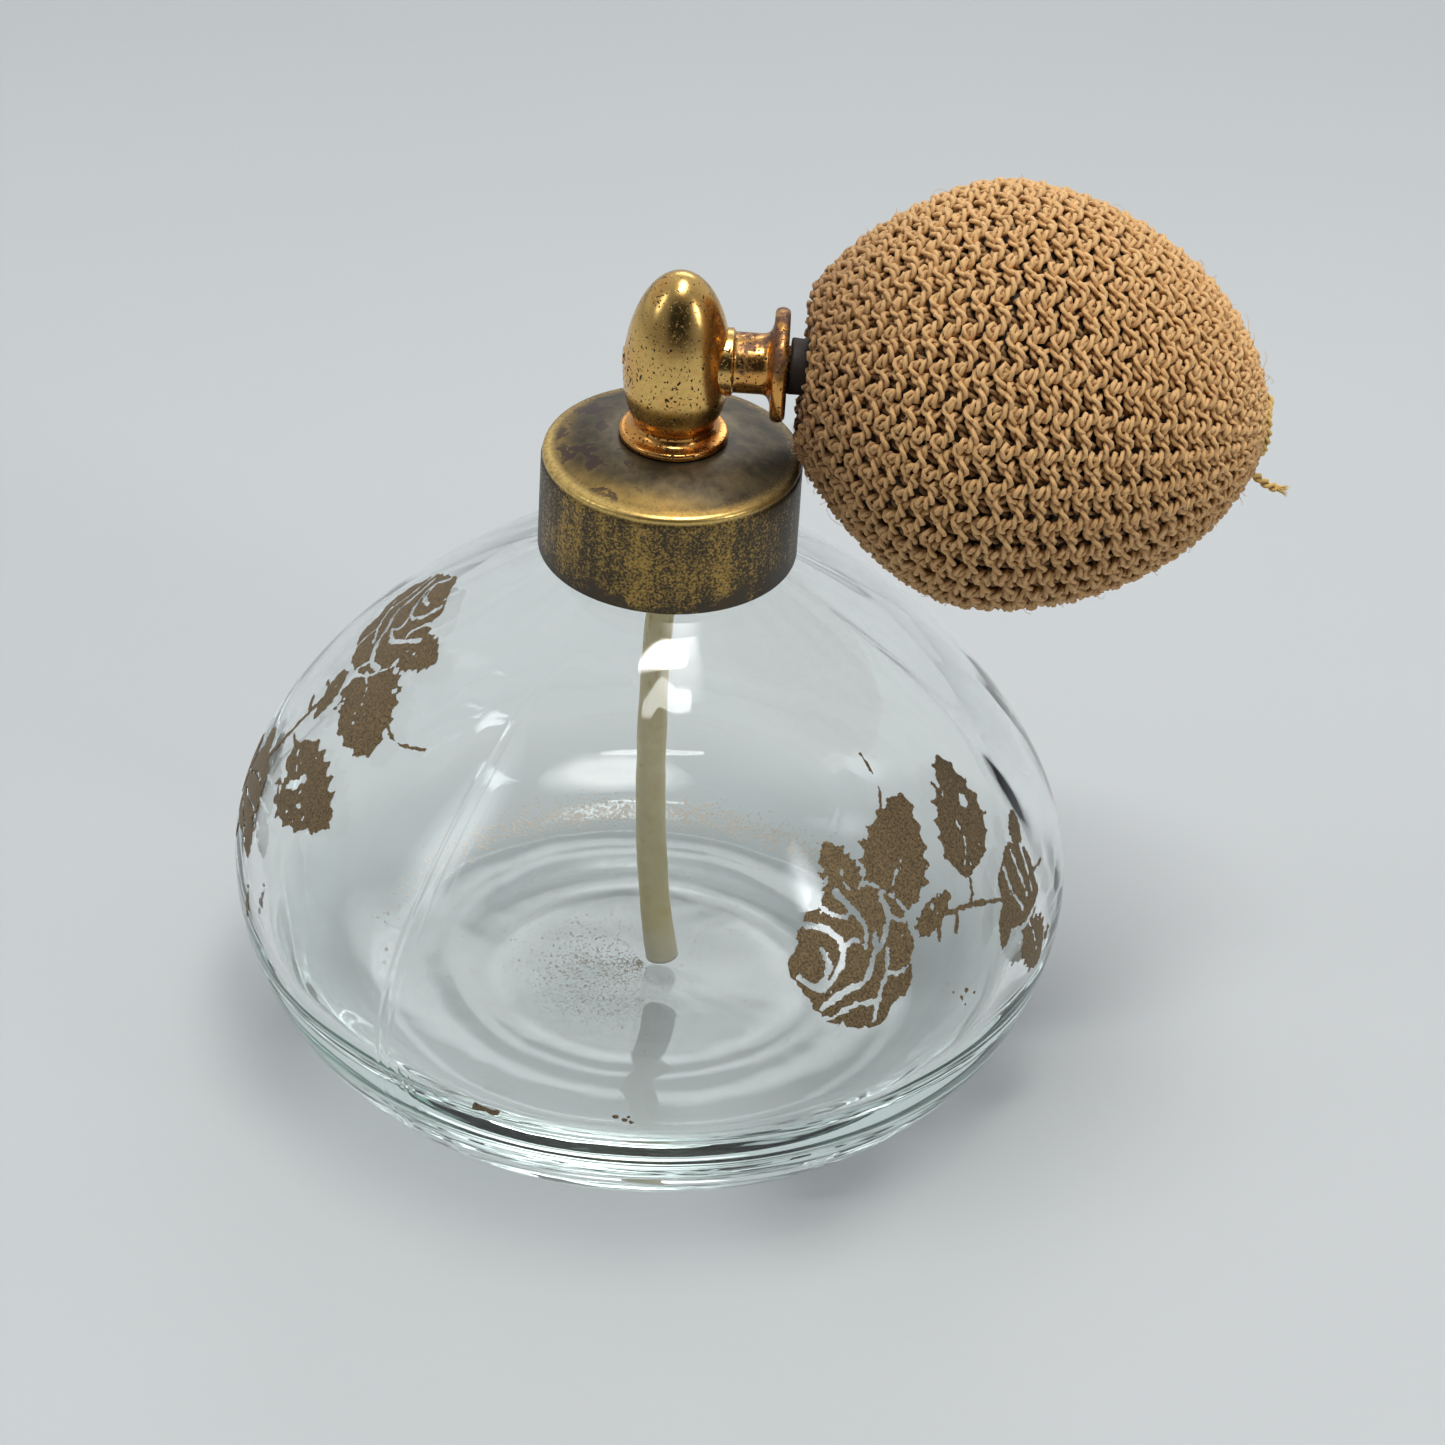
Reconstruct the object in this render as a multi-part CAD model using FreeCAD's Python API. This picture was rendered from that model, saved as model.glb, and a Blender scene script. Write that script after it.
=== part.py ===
import FreeCAD, Part
import math
import os

V = FreeCAD.Vector

# ---------------------------------------------------------------- dimensions
# All in millimetres.  Origin: centre of the flat base of the bottle, +Z up
# along the bottle's axis, +X along the bulb port.

# bottle
BOTTLE_R = 43.2            # widest radius
BOTTLE_WIDE_Z = 20.4       # height of the widest circle
BASE_R = 26.5              # flat standing face
WALL = 2.4                 # wall at the widest circle
FLOOR_Z = 4.8              # inner floor at its rim
FLOOR_CROWN_Z = 5.4        # inner floor in the middle
NECK_R = 10.6              # neck outside, root of the thread
NECK_BORE_R = 7.2
LIP_Z = 67.4               # top face of the neck
GLASS_CREST_R = 11.5       # crest of the moulded thread

# screw thread, right-handed
PITCH = 3.0
GLASS_THREAD_Z = 60.6      # start of the glass ridge
GLASS_TURNS = 1.5
INSERT_TURNS = 1.75
FLANK_OFFSET = 1.2         # ridge of the insert lies this far below the glass ridge
INSERT_ROOT_R = 11.75
INSERT_CREST_R = 10.75

# collar
COLLAR_R = 13.0            # 26 mm over the skirt
COLLAR_T = 0.4
COLLAR_Z0 = 58.4
COLLAR_EDGE_Z = 69.4       # rolled upper edge
COLLAR_TOP_Z = 71.1        # flat round the stem
STEM_HOLE_R = 3.48

# head
STEM_R = 3.4
STEM_BORE_R = 2.2
STEM_Z0 = 66.8
FOOT_Z = 71.2              # underside of the foot ring
EGG_R = 5.3
EGG_WIDE_Z = 78.9
EGG_TOP_Z = 89.4
PORT_Z = 79.85             # axis of the port
FLANGE_R = 5.5
PIPE_R = 3.0
NIPPLE_R = 2.2

# siphon and dip tube
SIPHON_R, SIPHON_BORE_R = 1.15, 0.7
DIP_R = 1.75
DIP_PATH = [(0.0, 0.0, 64.6), (0.0, 0.0, 57.0), (-0.45, 0.1, 46.0), (-0.5, 0.1, 34.0),
            (-0.05, 0.0, 23.0), (0.9, -0.1, 13.5), (1.9, -0.15, 6.9)]

# bulb, in its own frame: s along the axis from the flange, r from the axis
BULB_X = 10.9
DROOP = 3.5                # degrees below the horizontal
COVER_R, COVER_SM, COVER_A1, COVER_A2 = 21.3, 20.2, 21.9, 27.25
RUBBER_R, RUBBER_A1, RUBBER_A2 = 19.5, 20.6, 25.3
RUBBER_T = 1.5

os.makedirs("parts", exist_ok=True)


# ------------------------------------------------------------------- helpers
def line(a, b):
    return Part.LineSegment(V(a[0], 0, a[1]), V(b[0], 0, b[1])).toShape()


def bezier(*pts):
    c = Part.BezierCurve()
    c.setPoles([V(p[0], 0, p[1]) for p in pts])
    return c.toShape()


def revolve(edges):
    """A solid of revolution about Z from a closed chain of (r, z) edges."""
    wire = Part.Wire(Part.__sortEdges__(edges))
    return Part.Face(wire).revolve(V(0, 0, 0), V(0, 0, 1), 360)


def ring(r0, r1, z0, z1):
    body = Part.makeCylinder(r1, z1 - z0, V(0, 0, z0))
    return body.cut(Part.makeCylinder(r0, z1 - z0 + 2, V(0, 0, z0 - 1))) if r0 > 0 else body


def poly(pts):
    """A solid of revolution from straight (r, z) runs."""
    return revolve([line(pts[i], pts[(i + 1) % len(pts)]) for i in range(len(pts))])


def to_port(shape):
    """Turn a shape made about Z so that its axis lies along +X at the port's height."""
    s = shape.copy()
    s.rotate(V(0, 0, 0), V(0, 1, 0), 90)
    s.translate(V(0, 0, PORT_Z))
    return s


def to_bulb(shape):
    """Move a shape made in the bulb's own frame, with s along Z, to its place."""
    s = shape.copy()
    s.rotate(V(0, 0, 0), V(0, 1, 0), 90 + DROOP)
    s.translate(V(BULB_X, 0, PORT_Z))
    return s


def ridge(r_root, r_crest, half_root, half_crest, z0, turns):
    """A helical thread ridge, right-handed, between two radii."""
    helix = Part.makeHelix(PITCH, PITCH * turns, r_root)
    helix.translate(V(0, 0, z0))
    pts = [V(r_root, 0, z0 - half_root), V(r_crest, 0, z0 - half_crest),
           V(r_crest, 0, z0 + half_crest), V(r_root, 0, z0 + half_root)]
    prof = Part.makePolygon(pts + [pts[0]])
    return Part.Solid(Part.Wire(helix.Edges).makePipeShell([prof], True, True))


def swept(points, radius):
    """A round bar along straight runs joined by tangent arcs."""
    pts = [V(*p) for p in points]
    edges, at = [], pts[0]
    for i in range(1, len(pts) - 1):
        a, b, c = pts[i - 1], pts[i], pts[i + 1]
        u, w = (b - a), (c - b)
        lu, lw = u.Length, w.Length
        u.normalize(), w.normalize()
        turn = u.getAngle(w)
        if turn < 1e-4:
            continue
        r = 0.45 * min(lu, lw) / math.tan(turn / 2)
        d = r * math.tan(turn / 2)
        p, q = b - u * d, b + w * d
        mid = (p + q) * 0.5
        inward = mid - b
        centre = b + inward * ((r / math.cos(turn / 2)) / inward.Length)
        m = centre + (b - centre) * (r / (b - centre).Length)
        edges += [Part.LineSegment(at, p).toShape(), Part.Arc(p, m, q).toShape()]
        at = q
    edges.append(Part.LineSegment(at, pts[-1]).toShape())
    path = Part.Wire(edges)
    start = pts[1] - pts[0]
    disc = Part.Wire(Part.makeCircle(radius, pts[0], start))
    return path.makePipeShell([disc], True, False)


def quadrant(rm, sm, reach, power, r=None, s=None):
    """Control points of one side of the bulb's curve, from its end to the widest circle.

    The end is on the axis at sm + reach, or is cut back to where the curve passes radius r or station s.
    """
    k = (8 * 0.5 ** (1 / power) - 4) / 3
    c = [(0.0, sm + reach), (k * rm, sm + reach), (rm, sm + k * reach), (rm, sm)]

    def at(t):
        u = 1 - t
        return [u ** 3 * c[0][i] + 3 * u * u * t * c[1][i] + 3 * u * t * t * c[2][i] + t ** 3 * c[3][i] for i in (0, 1)]

    lo, hi = 0.0, 1.0
    if r is None and s is None:
        return c
    for _ in range(60):
        t = (lo + hi) / 2
        p = at(t)
        short = p[0] < r if r is not None else abs(p[1] - sm) > abs(s - sm)
        lo, hi = (t, hi) if short else (lo, t)
    t = hi
    mix = lambda p, q: tuple(p[i] + (q[i] - p[i]) * t for i in (0, 1))
    ab, bc, cd = mix(c[0], c[1]), mix(c[1], c[2]), mix(c[2], c[3])
    abc, bcd = mix(ab, bc), mix(bc, cd)
    return [mix(abc, bcd), bcd, cd, c[3]]


def save(shape, name):
    solids = shape.Solids
    shape = solids[0] if len(solids) == 1 else Part.Compound(solids)
    assert shape.isValid(), name
    shape.exportStep("parts/%s.step" % name)
    b = shape.BoundBox
    print("%-22s solids %d  vol %9.2f  z %.2f..%.2f  x %.2f..%.2f" % (
        name, len(solids), shape.Volume, b.ZMin, b.ZMax, b.XMin, b.XMax))
    return shape


# -------------------------------------------------------------------- bottle
R, W = BOTTLE_R, BOTTLE_WIDE_Z
RI = R - WALL
outer = [
    line((0, 0), (BASE_R, 0)),
    bezier((BASE_R, 0), (35.0, 0), (R, 9.6), (R, W)),
    bezier((R, W), (R, 33.8), (24.0, 50.0), (12.2, 57.6)),
    bezier((12.2, 57.6), (11.1, 58.31), (NECK_R, 58.7), (NECK_R, 59.6)),
    line((NECK_R, 59.6), (NECK_R, LIP_Z - 0.8)),
    bezier((NECK_R, LIP_Z - 0.8), (NECK_R, LIP_Z - 0.3), (NECK_R - 0.3, LIP_Z), (NECK_R - 0.8, LIP_Z)),
    line((NECK_R - 0.8, LIP_Z), (NECK_BORE_R + 0.8, LIP_Z)),
    bezier((NECK_BORE_R + 0.8, LIP_Z), (NECK_BORE_R + 0.3, LIP_Z), (NECK_BORE_R, LIP_Z - 0.3), (NECK_BORE_R, LIP_Z - 0.8)),
    line((NECK_BORE_R, LIP_Z - 0.8), (NECK_BORE_R, 60.6)),
    bezier((NECK_BORE_R, 60.6), (NECK_BORE_R, 57.6), (9.4, 56.1), (12.2, 54.3)),
    bezier((12.2, 54.3), (23.6, 46.9), (RI, 33.0), (RI, W)),
    bezier((RI, W), (RI, 11.6), (33.0, FLOOR_Z + 0.4), (19.0, FLOOR_Z)),
    bezier((19.0, FLOOR_Z), (14.0, FLOOR_Z - 0.14), (8.0, FLOOR_CROWN_Z), (0, FLOOR_CROWN_Z)),
    line((0, FLOOR_CROWN_Z), (0, 0)),
]
glass = revolve(outer)
glass = glass.fuse(ridge(NECK_R - 0.12, GLASS_CREST_R, 0.84, 0.32, GLASS_THREAD_Z, GLASS_TURNS))
save(glass, "glass_bottle")

# -------------------------------------------------------------------- collar
ct = COLLAR_T
shell = revolve([
    line((COLLAR_R - ct, COLLAR_Z0), (COLLAR_R, COLLAR_Z0)),
    line((COLLAR_R, COLLAR_Z0), (COLLAR_R, COLLAR_EDGE_Z - 0.75)),
    bezier((COLLAR_R, COLLAR_EDGE_Z - 0.75), (COLLAR_R, COLLAR_EDGE_Z - 0.25),
           (COLLAR_R - 0.28, COLLAR_EDGE_Z - 0.08), (COLLAR_R - 0.75, COLLAR_EDGE_Z)),
    bezier((COLLAR_R - 0.75, COLLAR_EDGE_Z), (10.6, COLLAR_EDGE_Z + 0.35), (8.0, COLLAR_TOP_Z), (5.8, COLLAR_TOP_Z)),
    line((5.8, COLLAR_TOP_Z), (STEM_HOLE_R, COLLAR_TOP_Z)),
    line((STEM_HOLE_R, COLLAR_TOP_Z), (STEM_HOLE_R, COLLAR_TOP_Z - ct)),
    line((STEM_HOLE_R, COLLAR_TOP_Z - ct), (5.8, COLLAR_TOP_Z - ct)),
    bezier((5.8, COLLAR_TOP_Z - ct), (8.0, COLLAR_TOP_Z - ct), (10.5, COLLAR_EDGE_Z + 0.35 - ct),
           (COLLAR_R - 0.85, COLLAR_EDGE_Z - ct)),
    bezier((COLLAR_R - 0.85, COLLAR_EDGE_Z - ct), (COLLAR_R - 0.55, COLLAR_EDGE_Z - ct - 0.05),
           (COLLAR_R - ct, COLLAR_EDGE_Z - ct - 0.15), (COLLAR_R - ct, COLLAR_EDGE_Z - 0.85)),
    line((COLLAR_R - ct, COLLAR_EDGE_Z - 0.85), (COLLAR_R - ct, COLLAR_Z0)),
])
save(shell, "collar_shell")

insert = ring(INSERT_ROOT_R, COLLAR_R - ct, 59.0, 68.3)
# the insert's ridge starts a quarter turn round, and a quarter pitch up with it
female = ridge(INSERT_ROOT_R + 0.12, INSERT_CREST_R, 0.86, 0.32, GLASS_THREAD_Z - FLANK_OFFSET + PITCH / 4, INSERT_TURNS)
female.rotate(V(0, 0, 0), V(0, 0, 1), 90)
insert = insert.fuse(female)
save(insert, "thread_insert")

gasket = ring(7.0, 10.2, LIP_Z, LIP_Z + 1.2)
save(gasket, "neck_gasket")

# ---------------------------------------------------------------------- head
def head_profile(inner):
    h = EGG_TOP_Z - EGG_WIDE_Z
    e = [
        line((0 if not inner else STEM_BORE_R, STEM_Z0), (STEM_R, STEM_Z0)),
        line((STEM_R, STEM_Z0), (STEM_R, FOOT_Z)),
        line((STEM_R, FOOT_Z), (5.2, FOOT_Z)),
        bezier((5.2, FOOT_Z), (5.5, FOOT_Z + 0.08), (5.5, 71.9), (5.2, 71.98)),
        bezier((5.2, 71.98), (4.75, 72.05), (4.3, 72.15), (4.1, 72.55)),
        bezier((4.1, 72.55), (3.92, 72.95), (4.0, 73.2), (4.2, 73.5)),
        bezier((4.2, 73.5), (4.95, 74.85), (EGG_R, 76.7), (EGG_R, EGG_WIDE_Z)),
        bezier((EGG_R, EGG_WIDE_Z), (EGG_R, EGG_WIDE_Z + 0.55 * h), (0.55 * EGG_R, EGG_TOP_Z), (0, EGG_TOP_Z)),
    ]
    if not inner:
        return e + [line((0, EGG_TOP_Z), (0, STEM_Z0))]
    return e + [
        line((0, EGG_TOP_Z), (0, EGG_TOP_Z - 1.1)),
        bezier((0, EGG_TOP_Z - 1.1), (2.9, EGG_TOP_Z - 1.1), (4.55, 84.0), (4.55, EGG_WIDE_Z)),
        bezier((4.55, EGG_WIDE_Z), (4.55, 75.8), (STEM_BORE_R + 0.9, 74.4), (STEM_BORE_R, 73.2)),
        line((STEM_BORE_R, 73.2), (STEM_BORE_R, STEM_Z0)),
    ]


head_full = revolve(head_profile(False))
head = revolve(head_profile(True))
port_hole = to_port(Part.makeCylinder(2.0, 8.0, V(0, 0, 1.0)))
nozzle_hole = to_port(Part.makeCylinder(0.9, 8.0, V(0, 0, -9.0)))
head = head.cut(port_hole).cut(nozzle_hole)
save(head, "head_body")

# port: saddle ring, pipe, flange and barbed nipple in one turned piece
port_rs = [
    line((0, 3.2), (3.35, 3.2)),
    line((3.35, 3.2), (3.35, 5.75)),
    bezier((3.35, 5.75), (3.35, 5.98), (PIPE_R + 0.1, 5.9), (PIPE_R, 6.1)),
    line((PIPE_R, 6.1), (PIPE_R, 8.3)),
    bezier((PIPE_R, 8.3), (PIPE_R, 8.85), (PIPE_R + 0.4, 9.15), (PIPE_R + 1.1, 9.25)),
    line((PIPE_R + 1.1, 9.25), (FLANGE_R - 0.35, 9.3)),
    bezier((FLANGE_R - 0.35, 9.3), (FLANGE_R, 9.35), (FLANGE_R + 0.15, 9.7), (FLANGE_R + 0.15, 10.05)),
    bezier((FLANGE_R + 0.15, 10.05), (FLANGE_R + 0.15, 10.45), (FLANGE_R - 0.05, 10.8), (FLANGE_R - 0.45, 10.8)),
    line((FLANGE_R - 0.45, 10.8), (NIPPLE_R - 0.25, 10.8)),
    line((NIPPLE_R - 0.25, 10.8), (NIPPLE_R - 0.25, 12.6)),
    line((NIPPLE_R - 0.25, 12.6), (NIPPLE_R, 12.6)),
    line((NIPPLE_R, 12.6), (NIPPLE_R - 0.2, 14.4)),
    line((NIPPLE_R - 0.2, 14.4), (NIPPLE_R, 14.4)),
    line((NIPPLE_R, 14.4), (NIPPLE_R - 0.35, 16.4)),
    line((NIPPLE_R - 0.35, 16.4), (0, 16.4)),
    line((0, 16.4), (0, 3.2)),
]
port = to_port(revolve(port_rs)).cut(head_full)
port = port.fuse(to_port(Part.makeCylinder(2.0, 3.0, V(0, 0, 4.0))))
port = port.cut(to_port(Part.makeCylinder(0.8, 12.0, V(0, 0, 3.0))))
port = port.cut(to_port(Part.makeCylinder(1.3, 6.0, V(0, 0, 12.2))))
port = port.removeSplitter()
save(port, "bulb_port")

nozzle = to_port(Part.makeCylinder(0.9, 1.25, V(0, 0, -5.45))).cut(to_port(Part.makeCylinder(0.3, 4.0, V(0, 0, -7.0))))
save(nozzle, "nozzle_insert")

# siphon: straight tube with an elbow to the nozzle
path = Part.Wire([
    Part.LineSegment(V(0, 0, 60.4), V(0, 0, PORT_Z - 1.7)).toShape(),
    Part.Arc(V(0, 0, PORT_Z - 1.7), V(-1.7 + 1.7 * math.cos(math.pi / 4), 0, PORT_Z - 1.7 + 1.7 * math.sin(math.pi / 4)),
             V(-1.7, 0, PORT_Z)).toShape(),
    Part.LineSegment(V(-1.7, 0, PORT_Z), V(-4.2, 0, PORT_Z)).toShape(),
])
tube = path.makePipeShell([Part.Wire(Part.makeCircle(SIPHON_R, V(0, 0, 60.4), V(0, 0, 1)))], True, True)
bore = path.makePipeShell([Part.Wire(Part.makeCircle(SIPHON_BORE_R, V(0, 0, 60.4), V(0, 0, 1)))], True, True)
siphon = Part.Solid(tube).cut(Part.Solid(bore))
save(siphon, "siphon_tube")

save(ring(SIPHON_R, STEM_BORE_R, STEM_Z0, STEM_Z0 + 2.0), "siphon_bush")

nut = Part.Face(Part.makePolygon([V(9.0 / math.sqrt(3) * math.cos(math.radians(60 * i)),
                                    9.0 / math.sqrt(3) * math.sin(math.radians(60 * i)), 66.9)
                                  for i in range(7)])).extrude(V(0, 0, 1.8))
nut = nut.cut(Part.makeCylinder(STEM_R, 4, V(0, 0, 66)))
save(nut, "stem_nut")
save(ring(STEM_R, 10.3, 68.7, 69.3), "pressure_plate")

dip_o = Part.Solid(swept(DIP_PATH, DIP_R))
dip_i = Part.Solid(swept(DIP_PATH, SIPHON_R))
dip = dip_o.cut(dip_i)
length = sum((V(*DIP_PATH[i + 1]) - V(*DIP_PATH[i])).Length for i in range(len(DIP_PATH) - 1))
print("dip tube: runs %.2f, section times length %.1f" % (length, math.pi * (DIP_R ** 2 - SIPHON_R ** 2) * length))
save(dip, "dip_tube")

# -------------------------------------------------------------- outlet valve
save(to_port(ring(0.5, 1.3, 14.6, 15.6)), "outlet_valve_seat")
save(Part.makeSphere(1.0, V(13.68, 0, PORT_Z)), "outlet_valve_ball")

# ---------------------------------------------------------------------- bulb
P1, P2 = 1.61, 1.87        # fullness of the neck side and of the tail side
SM = COVER_SM
ri, rt = RUBBER_R - RUBBER_T, RUBBER_T
rub_neck = quadrant(RUBBER_R, SM, -RUBBER_A1, P1, s=1.9)
rub_end = quadrant(RUBBER_R, SM, RUBBER_A2, P2, r=2.6)
rub_tail = rub_end[0][1]
in_neck = quadrant(ri, SM, -(RUBBER_A1 - rt), P1, s=4.2)
in_end = quadrant(ri, SM, RUBBER_A2 - rt, P2, r=2.2)
inner_end = in_end[0][1]
rubber = revolve([
    line((0, 0.05), (2.75, 0.05)),
    line((2.75, 0.05), (2.75, 1.35)),
    bezier((2.75, 1.35), (2.75, 1.7), (3.0, 1.8), (3.4, 1.82)),
    line((3.4, 1.82), rub_neck[0]),
    bezier(*rub_neck),
    bezier(*rub_end),
    line(rub_end[0], (1.95, rub_tail)),
    line((1.95, rub_tail), (1.95, inner_end - 0.6)),
    line((1.95, inner_end - 0.6), (0, inner_end - 0.6)),
    line((0, inner_end - 0.6), (0, 0.05)),
])
cavity = revolve([
    line((0, 6.0), (3.2, 6.0)),
    line((3.2, 6.0), in_neck[0]),
    bezier(*in_neck),
    bezier(*in_end),
    line(in_end[0], (0, inner_end)),
    line((0, inner_end), (0, 6.0)),
])
rubber = to_bulb(rubber.cut(cavity).cut(Part.makeCylinder(1.95, 6, V(0, 0, inner_end - 3))))
nipple_space = to_port(revolve(port_rs))
rubber = rubber.cut(nipple_space)
rubber = max(rubber.Solids, key=lambda s: s.Volume)
save(rubber, "rubber_bulb")

co_neck = quadrant(COVER_R, SM, -COVER_A1, P1, s=1.15)
co_end = quadrant(COVER_R, SM, COVER_A2, P2, r=2.7)
cov_tail = co_end[0][1]
ci_neck = quadrant(RUBBER_R + 0.15, SM, -(RUBBER_A1 + 0.15), P1, s=2.1)
ci_end = quadrant(RUBBER_R + 0.15, SM, RUBBER_A2 + 0.15, P2, r=2.7)
cover = revolve([
    bezier(*co_neck),
    bezier(*co_end),
    line(co_end[0], ci_end[0]),
    bezier(*ci_end),
    bezier(*ci_neck),
    bezier(ci_neck[0], (ci_neck[0][0] - 0.7, 1.95), (co_neck[0][0] - 1.2, 1.05), co_neck[0]),
])
save(to_bulb(cover), "knit_cover")

# ---------------------------------------------------------------- inlet valve
valve = poly([(1.8, 41.6), (1.8, rub_tail + 0.15), (2.5, rub_tail + 0.15), (2.5, 46.9), (0.55, 46.9),
              (0.55, 45.2), (1.1, 45.2), (1.1, 41.6)])
save(to_bulb(valve), "inlet_valve_body")
save(to_bulb(ring(0.5, 1.1, 41.6, 42.4)), "inlet_valve_retainer")
save(to_bulb(Part.makeSphere(0.85, V(0, 0, 44.45))), "inlet_valve_ball")

# gathering cord: a turn round the valve's rim and its loose end
hoop = Part.makeTorus(3.35, 0.5, V(0, 0, cov_tail + 0.62))
tail = Part.Solid(swept([(3.35, 0, cov_tail + 0.62), (5.3, 0, cov_tail + 0.45), (6.6, 0, cov_tail + 1.2), (7.4, 0, cov_tail + 2.5)], 0.55))
cord = hoop.fuse(tail)
save(to_bulb(cord), "gathering_cord")
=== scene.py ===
import math

import bpy
import numpy as np
from mathutils import Matrix, Vector


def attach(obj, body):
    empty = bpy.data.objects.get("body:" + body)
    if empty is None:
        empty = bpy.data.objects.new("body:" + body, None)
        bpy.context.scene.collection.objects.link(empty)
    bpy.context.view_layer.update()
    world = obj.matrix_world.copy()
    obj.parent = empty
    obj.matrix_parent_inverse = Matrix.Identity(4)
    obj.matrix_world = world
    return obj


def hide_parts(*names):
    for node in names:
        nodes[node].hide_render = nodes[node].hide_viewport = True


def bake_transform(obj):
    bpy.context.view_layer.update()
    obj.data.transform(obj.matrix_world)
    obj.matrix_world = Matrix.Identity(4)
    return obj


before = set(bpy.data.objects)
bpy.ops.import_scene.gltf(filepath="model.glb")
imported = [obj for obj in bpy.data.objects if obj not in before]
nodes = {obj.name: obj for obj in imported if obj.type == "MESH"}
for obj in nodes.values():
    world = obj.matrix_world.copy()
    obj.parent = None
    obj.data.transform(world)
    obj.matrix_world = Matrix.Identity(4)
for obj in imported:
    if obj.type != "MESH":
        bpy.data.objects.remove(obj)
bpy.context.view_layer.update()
MM = 0.001
scene = bpy.context.scene


# =============================================================== camera, view
cam_data = bpy.data.cameras.new("camera")
cam_data.lens, cam_data.sensor_width = 124.567, 36.0
cam_data.clip_start, cam_data.clip_end = 0.01, 50
cam = bpy.data.objects.new("camera", cam_data)
scene.collection.objects.link(cam)
R2, U2, V2 = (0.997985, 0.036155, 0.052148), (-0.063456, 0.568621, 0.820149), (0.0, 0.821805, -0.569769)
cam.matrix_world = Matrix(((R2[0], U2[0], -V2[0], 0.006649), (R2[1], U2[1], -V2[1], -0.421619),
                           (R2[2], U2[2], -V2[2], 0.329294), (0, 0, 0, 1)))
scene.camera = cam
scene.view_settings.view_transform = "Standard"
scene.view_settings.look = "None"
scene.view_settings.exposure = 0.0
scene.view_settings.gamma = 1.0
# the thick base guides light through many internal reflections
scene.cycles.max_bounces = 28
scene.cycles.glossy_bounces = 20
scene.cycles.transmission_bounces = 24
scene.cycles.transparent_max_bounces = 24


# =================================================================== noise
def hash3(i, j, k, seed):
    n = (i * 374761393 + j * 668265263 + k * 2147483647 + seed * 1274126177) & 0xFFFFFFFF
    n = ((n ^ (n >> 13)) * 1274126177) & 0xFFFFFFFF
    return ((n ^ (n >> 16)) & 0xFFFFFF) / float(0xFFFFFF)


def vnoise(p, seed=0):
    """Smooth value noise in 0..1 at points p of shape (n, 3)."""
    p = np.asarray(p, float)
    f = np.floor(p).astype(np.int64)
    t = p - f
    t = t * t * (3 - 2 * t)
    out = np.zeros(len(p))
    for a in (0, 1):
        for b in (0, 1):
            for c in (0, 1):
                w = (t[:, 0] if a else 1 - t[:, 0]) * (t[:, 1] if b else 1 - t[:, 1]) * (t[:, 2] if c else 1 - t[:, 2])
                out += w * hash3(f[:, 0] + a, f[:, 1] + b, f[:, 2] + c, seed)
    return out


def fnoise(p, octaves=3, seed=0):
    p = np.asarray(p, float)
    total, amp, norm = np.zeros(len(p)), 1.0, 0.0
    for o in range(octaves):
        total += amp * vnoise(p * 2 ** o, seed + 31 * o)
        norm += amp
        amp *= 0.5
    return total / norm


# ============================================================ mesh utilities
def build(name, verts, faces, mat, body, smooth=True, attrs=None, uv=None):
    """A mesh piece from vertices in millimetres and a list of face-index arrays, riding on a body."""
    verts = np.asarray(verts, float)
    me = bpy.data.meshes.new(name)
    me.vertices.add(len(verts))
    me.vertices.foreach_set("co", (verts * MM).astype(np.float32).ravel())
    loops = np.concatenate([np.asarray(f).ravel() for f in faces]).astype(np.int32)
    counts = np.concatenate([np.full(len(f), np.asarray(f).shape[1]) for f in faces])
    starts = np.concatenate([[0], np.cumsum(counts)[:-1]]).astype(np.int32)
    me.loops.add(len(loops))
    me.loops.foreach_set("vertex_index", loops)
    me.polygons.add(len(counts))
    me.polygons.foreach_set("loop_start", starts)
    me.polygons.foreach_set("use_smooth", np.full(len(counts), smooth))
    me.update(calc_edges=True)
    me.validate()
    if uv is not None:
        layer = me.uv_layers.new(name="UVMap")
        layer.data.foreach_set("uv", np.asarray(uv, np.float32)[loops].ravel())
    for key, values in (attrs or {}).items():
        a = me.attributes.new(key, "FLOAT", "POINT")
        a.data.foreach_set("value", np.asarray(values, np.float32))
    me.materials.append(mat)
    o = bpy.data.objects.new(name, me)
    scene.collection.objects.link(o)
    if body:
        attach(o, body)
    return o


def bez(a, b, c, d, n):
    """n points along a cubic, without its first point."""
    t = np.linspace(0, 1, n + 1)[1:, None]
    a, b, c, d = (np.array(q, float) for q in (a, b, c, d))
    return (1 - t) ** 3 * a + 3 * (1 - t) ** 2 * t * b + 3 * (1 - t) * t * t * c + t ** 3 * d


def seg(a, b, n):
    t = np.linspace(0, 1, n + 1)[1:, None]
    return np.array(a, float) * (1 - t) + np.array(b, float) * t


def chain(start, *parts):
    """A profile of (r, z) points from a start and a list of pieces."""
    pts = [np.array([start], float)]
    for q in parts:
        pts.append(q)
    return np.concatenate(pts)


def lathe_faces(rows, cols, first_pole, last_pole, closed=False):
    """Faces of a grid of rows by cols vertices, joined round, with optional end poles after the grid."""
    i, j = np.meshgrid(np.arange(rows - (0 if closed else 1)), np.arange(cols), indexing="ij")
    jn, ir = (j + 1) % cols, (i + 1) % rows
    quads = np.stack([i * cols + j, i * cols + jn, ir * cols + jn, ir * cols + j], -1).reshape(-1, 4)
    faces = [quads]
    k = rows * cols
    c = np.arange(cols)
    if first_pole:
        faces.append(np.stack([np.full(cols, k), (c + 1) % cols, c], -1))
        k += 1
    if last_pole:
        base = (rows - 1) * cols
        faces.append(np.stack([np.full(cols, k), base + c, base + (c + 1) % cols], -1))
    return faces


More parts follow.
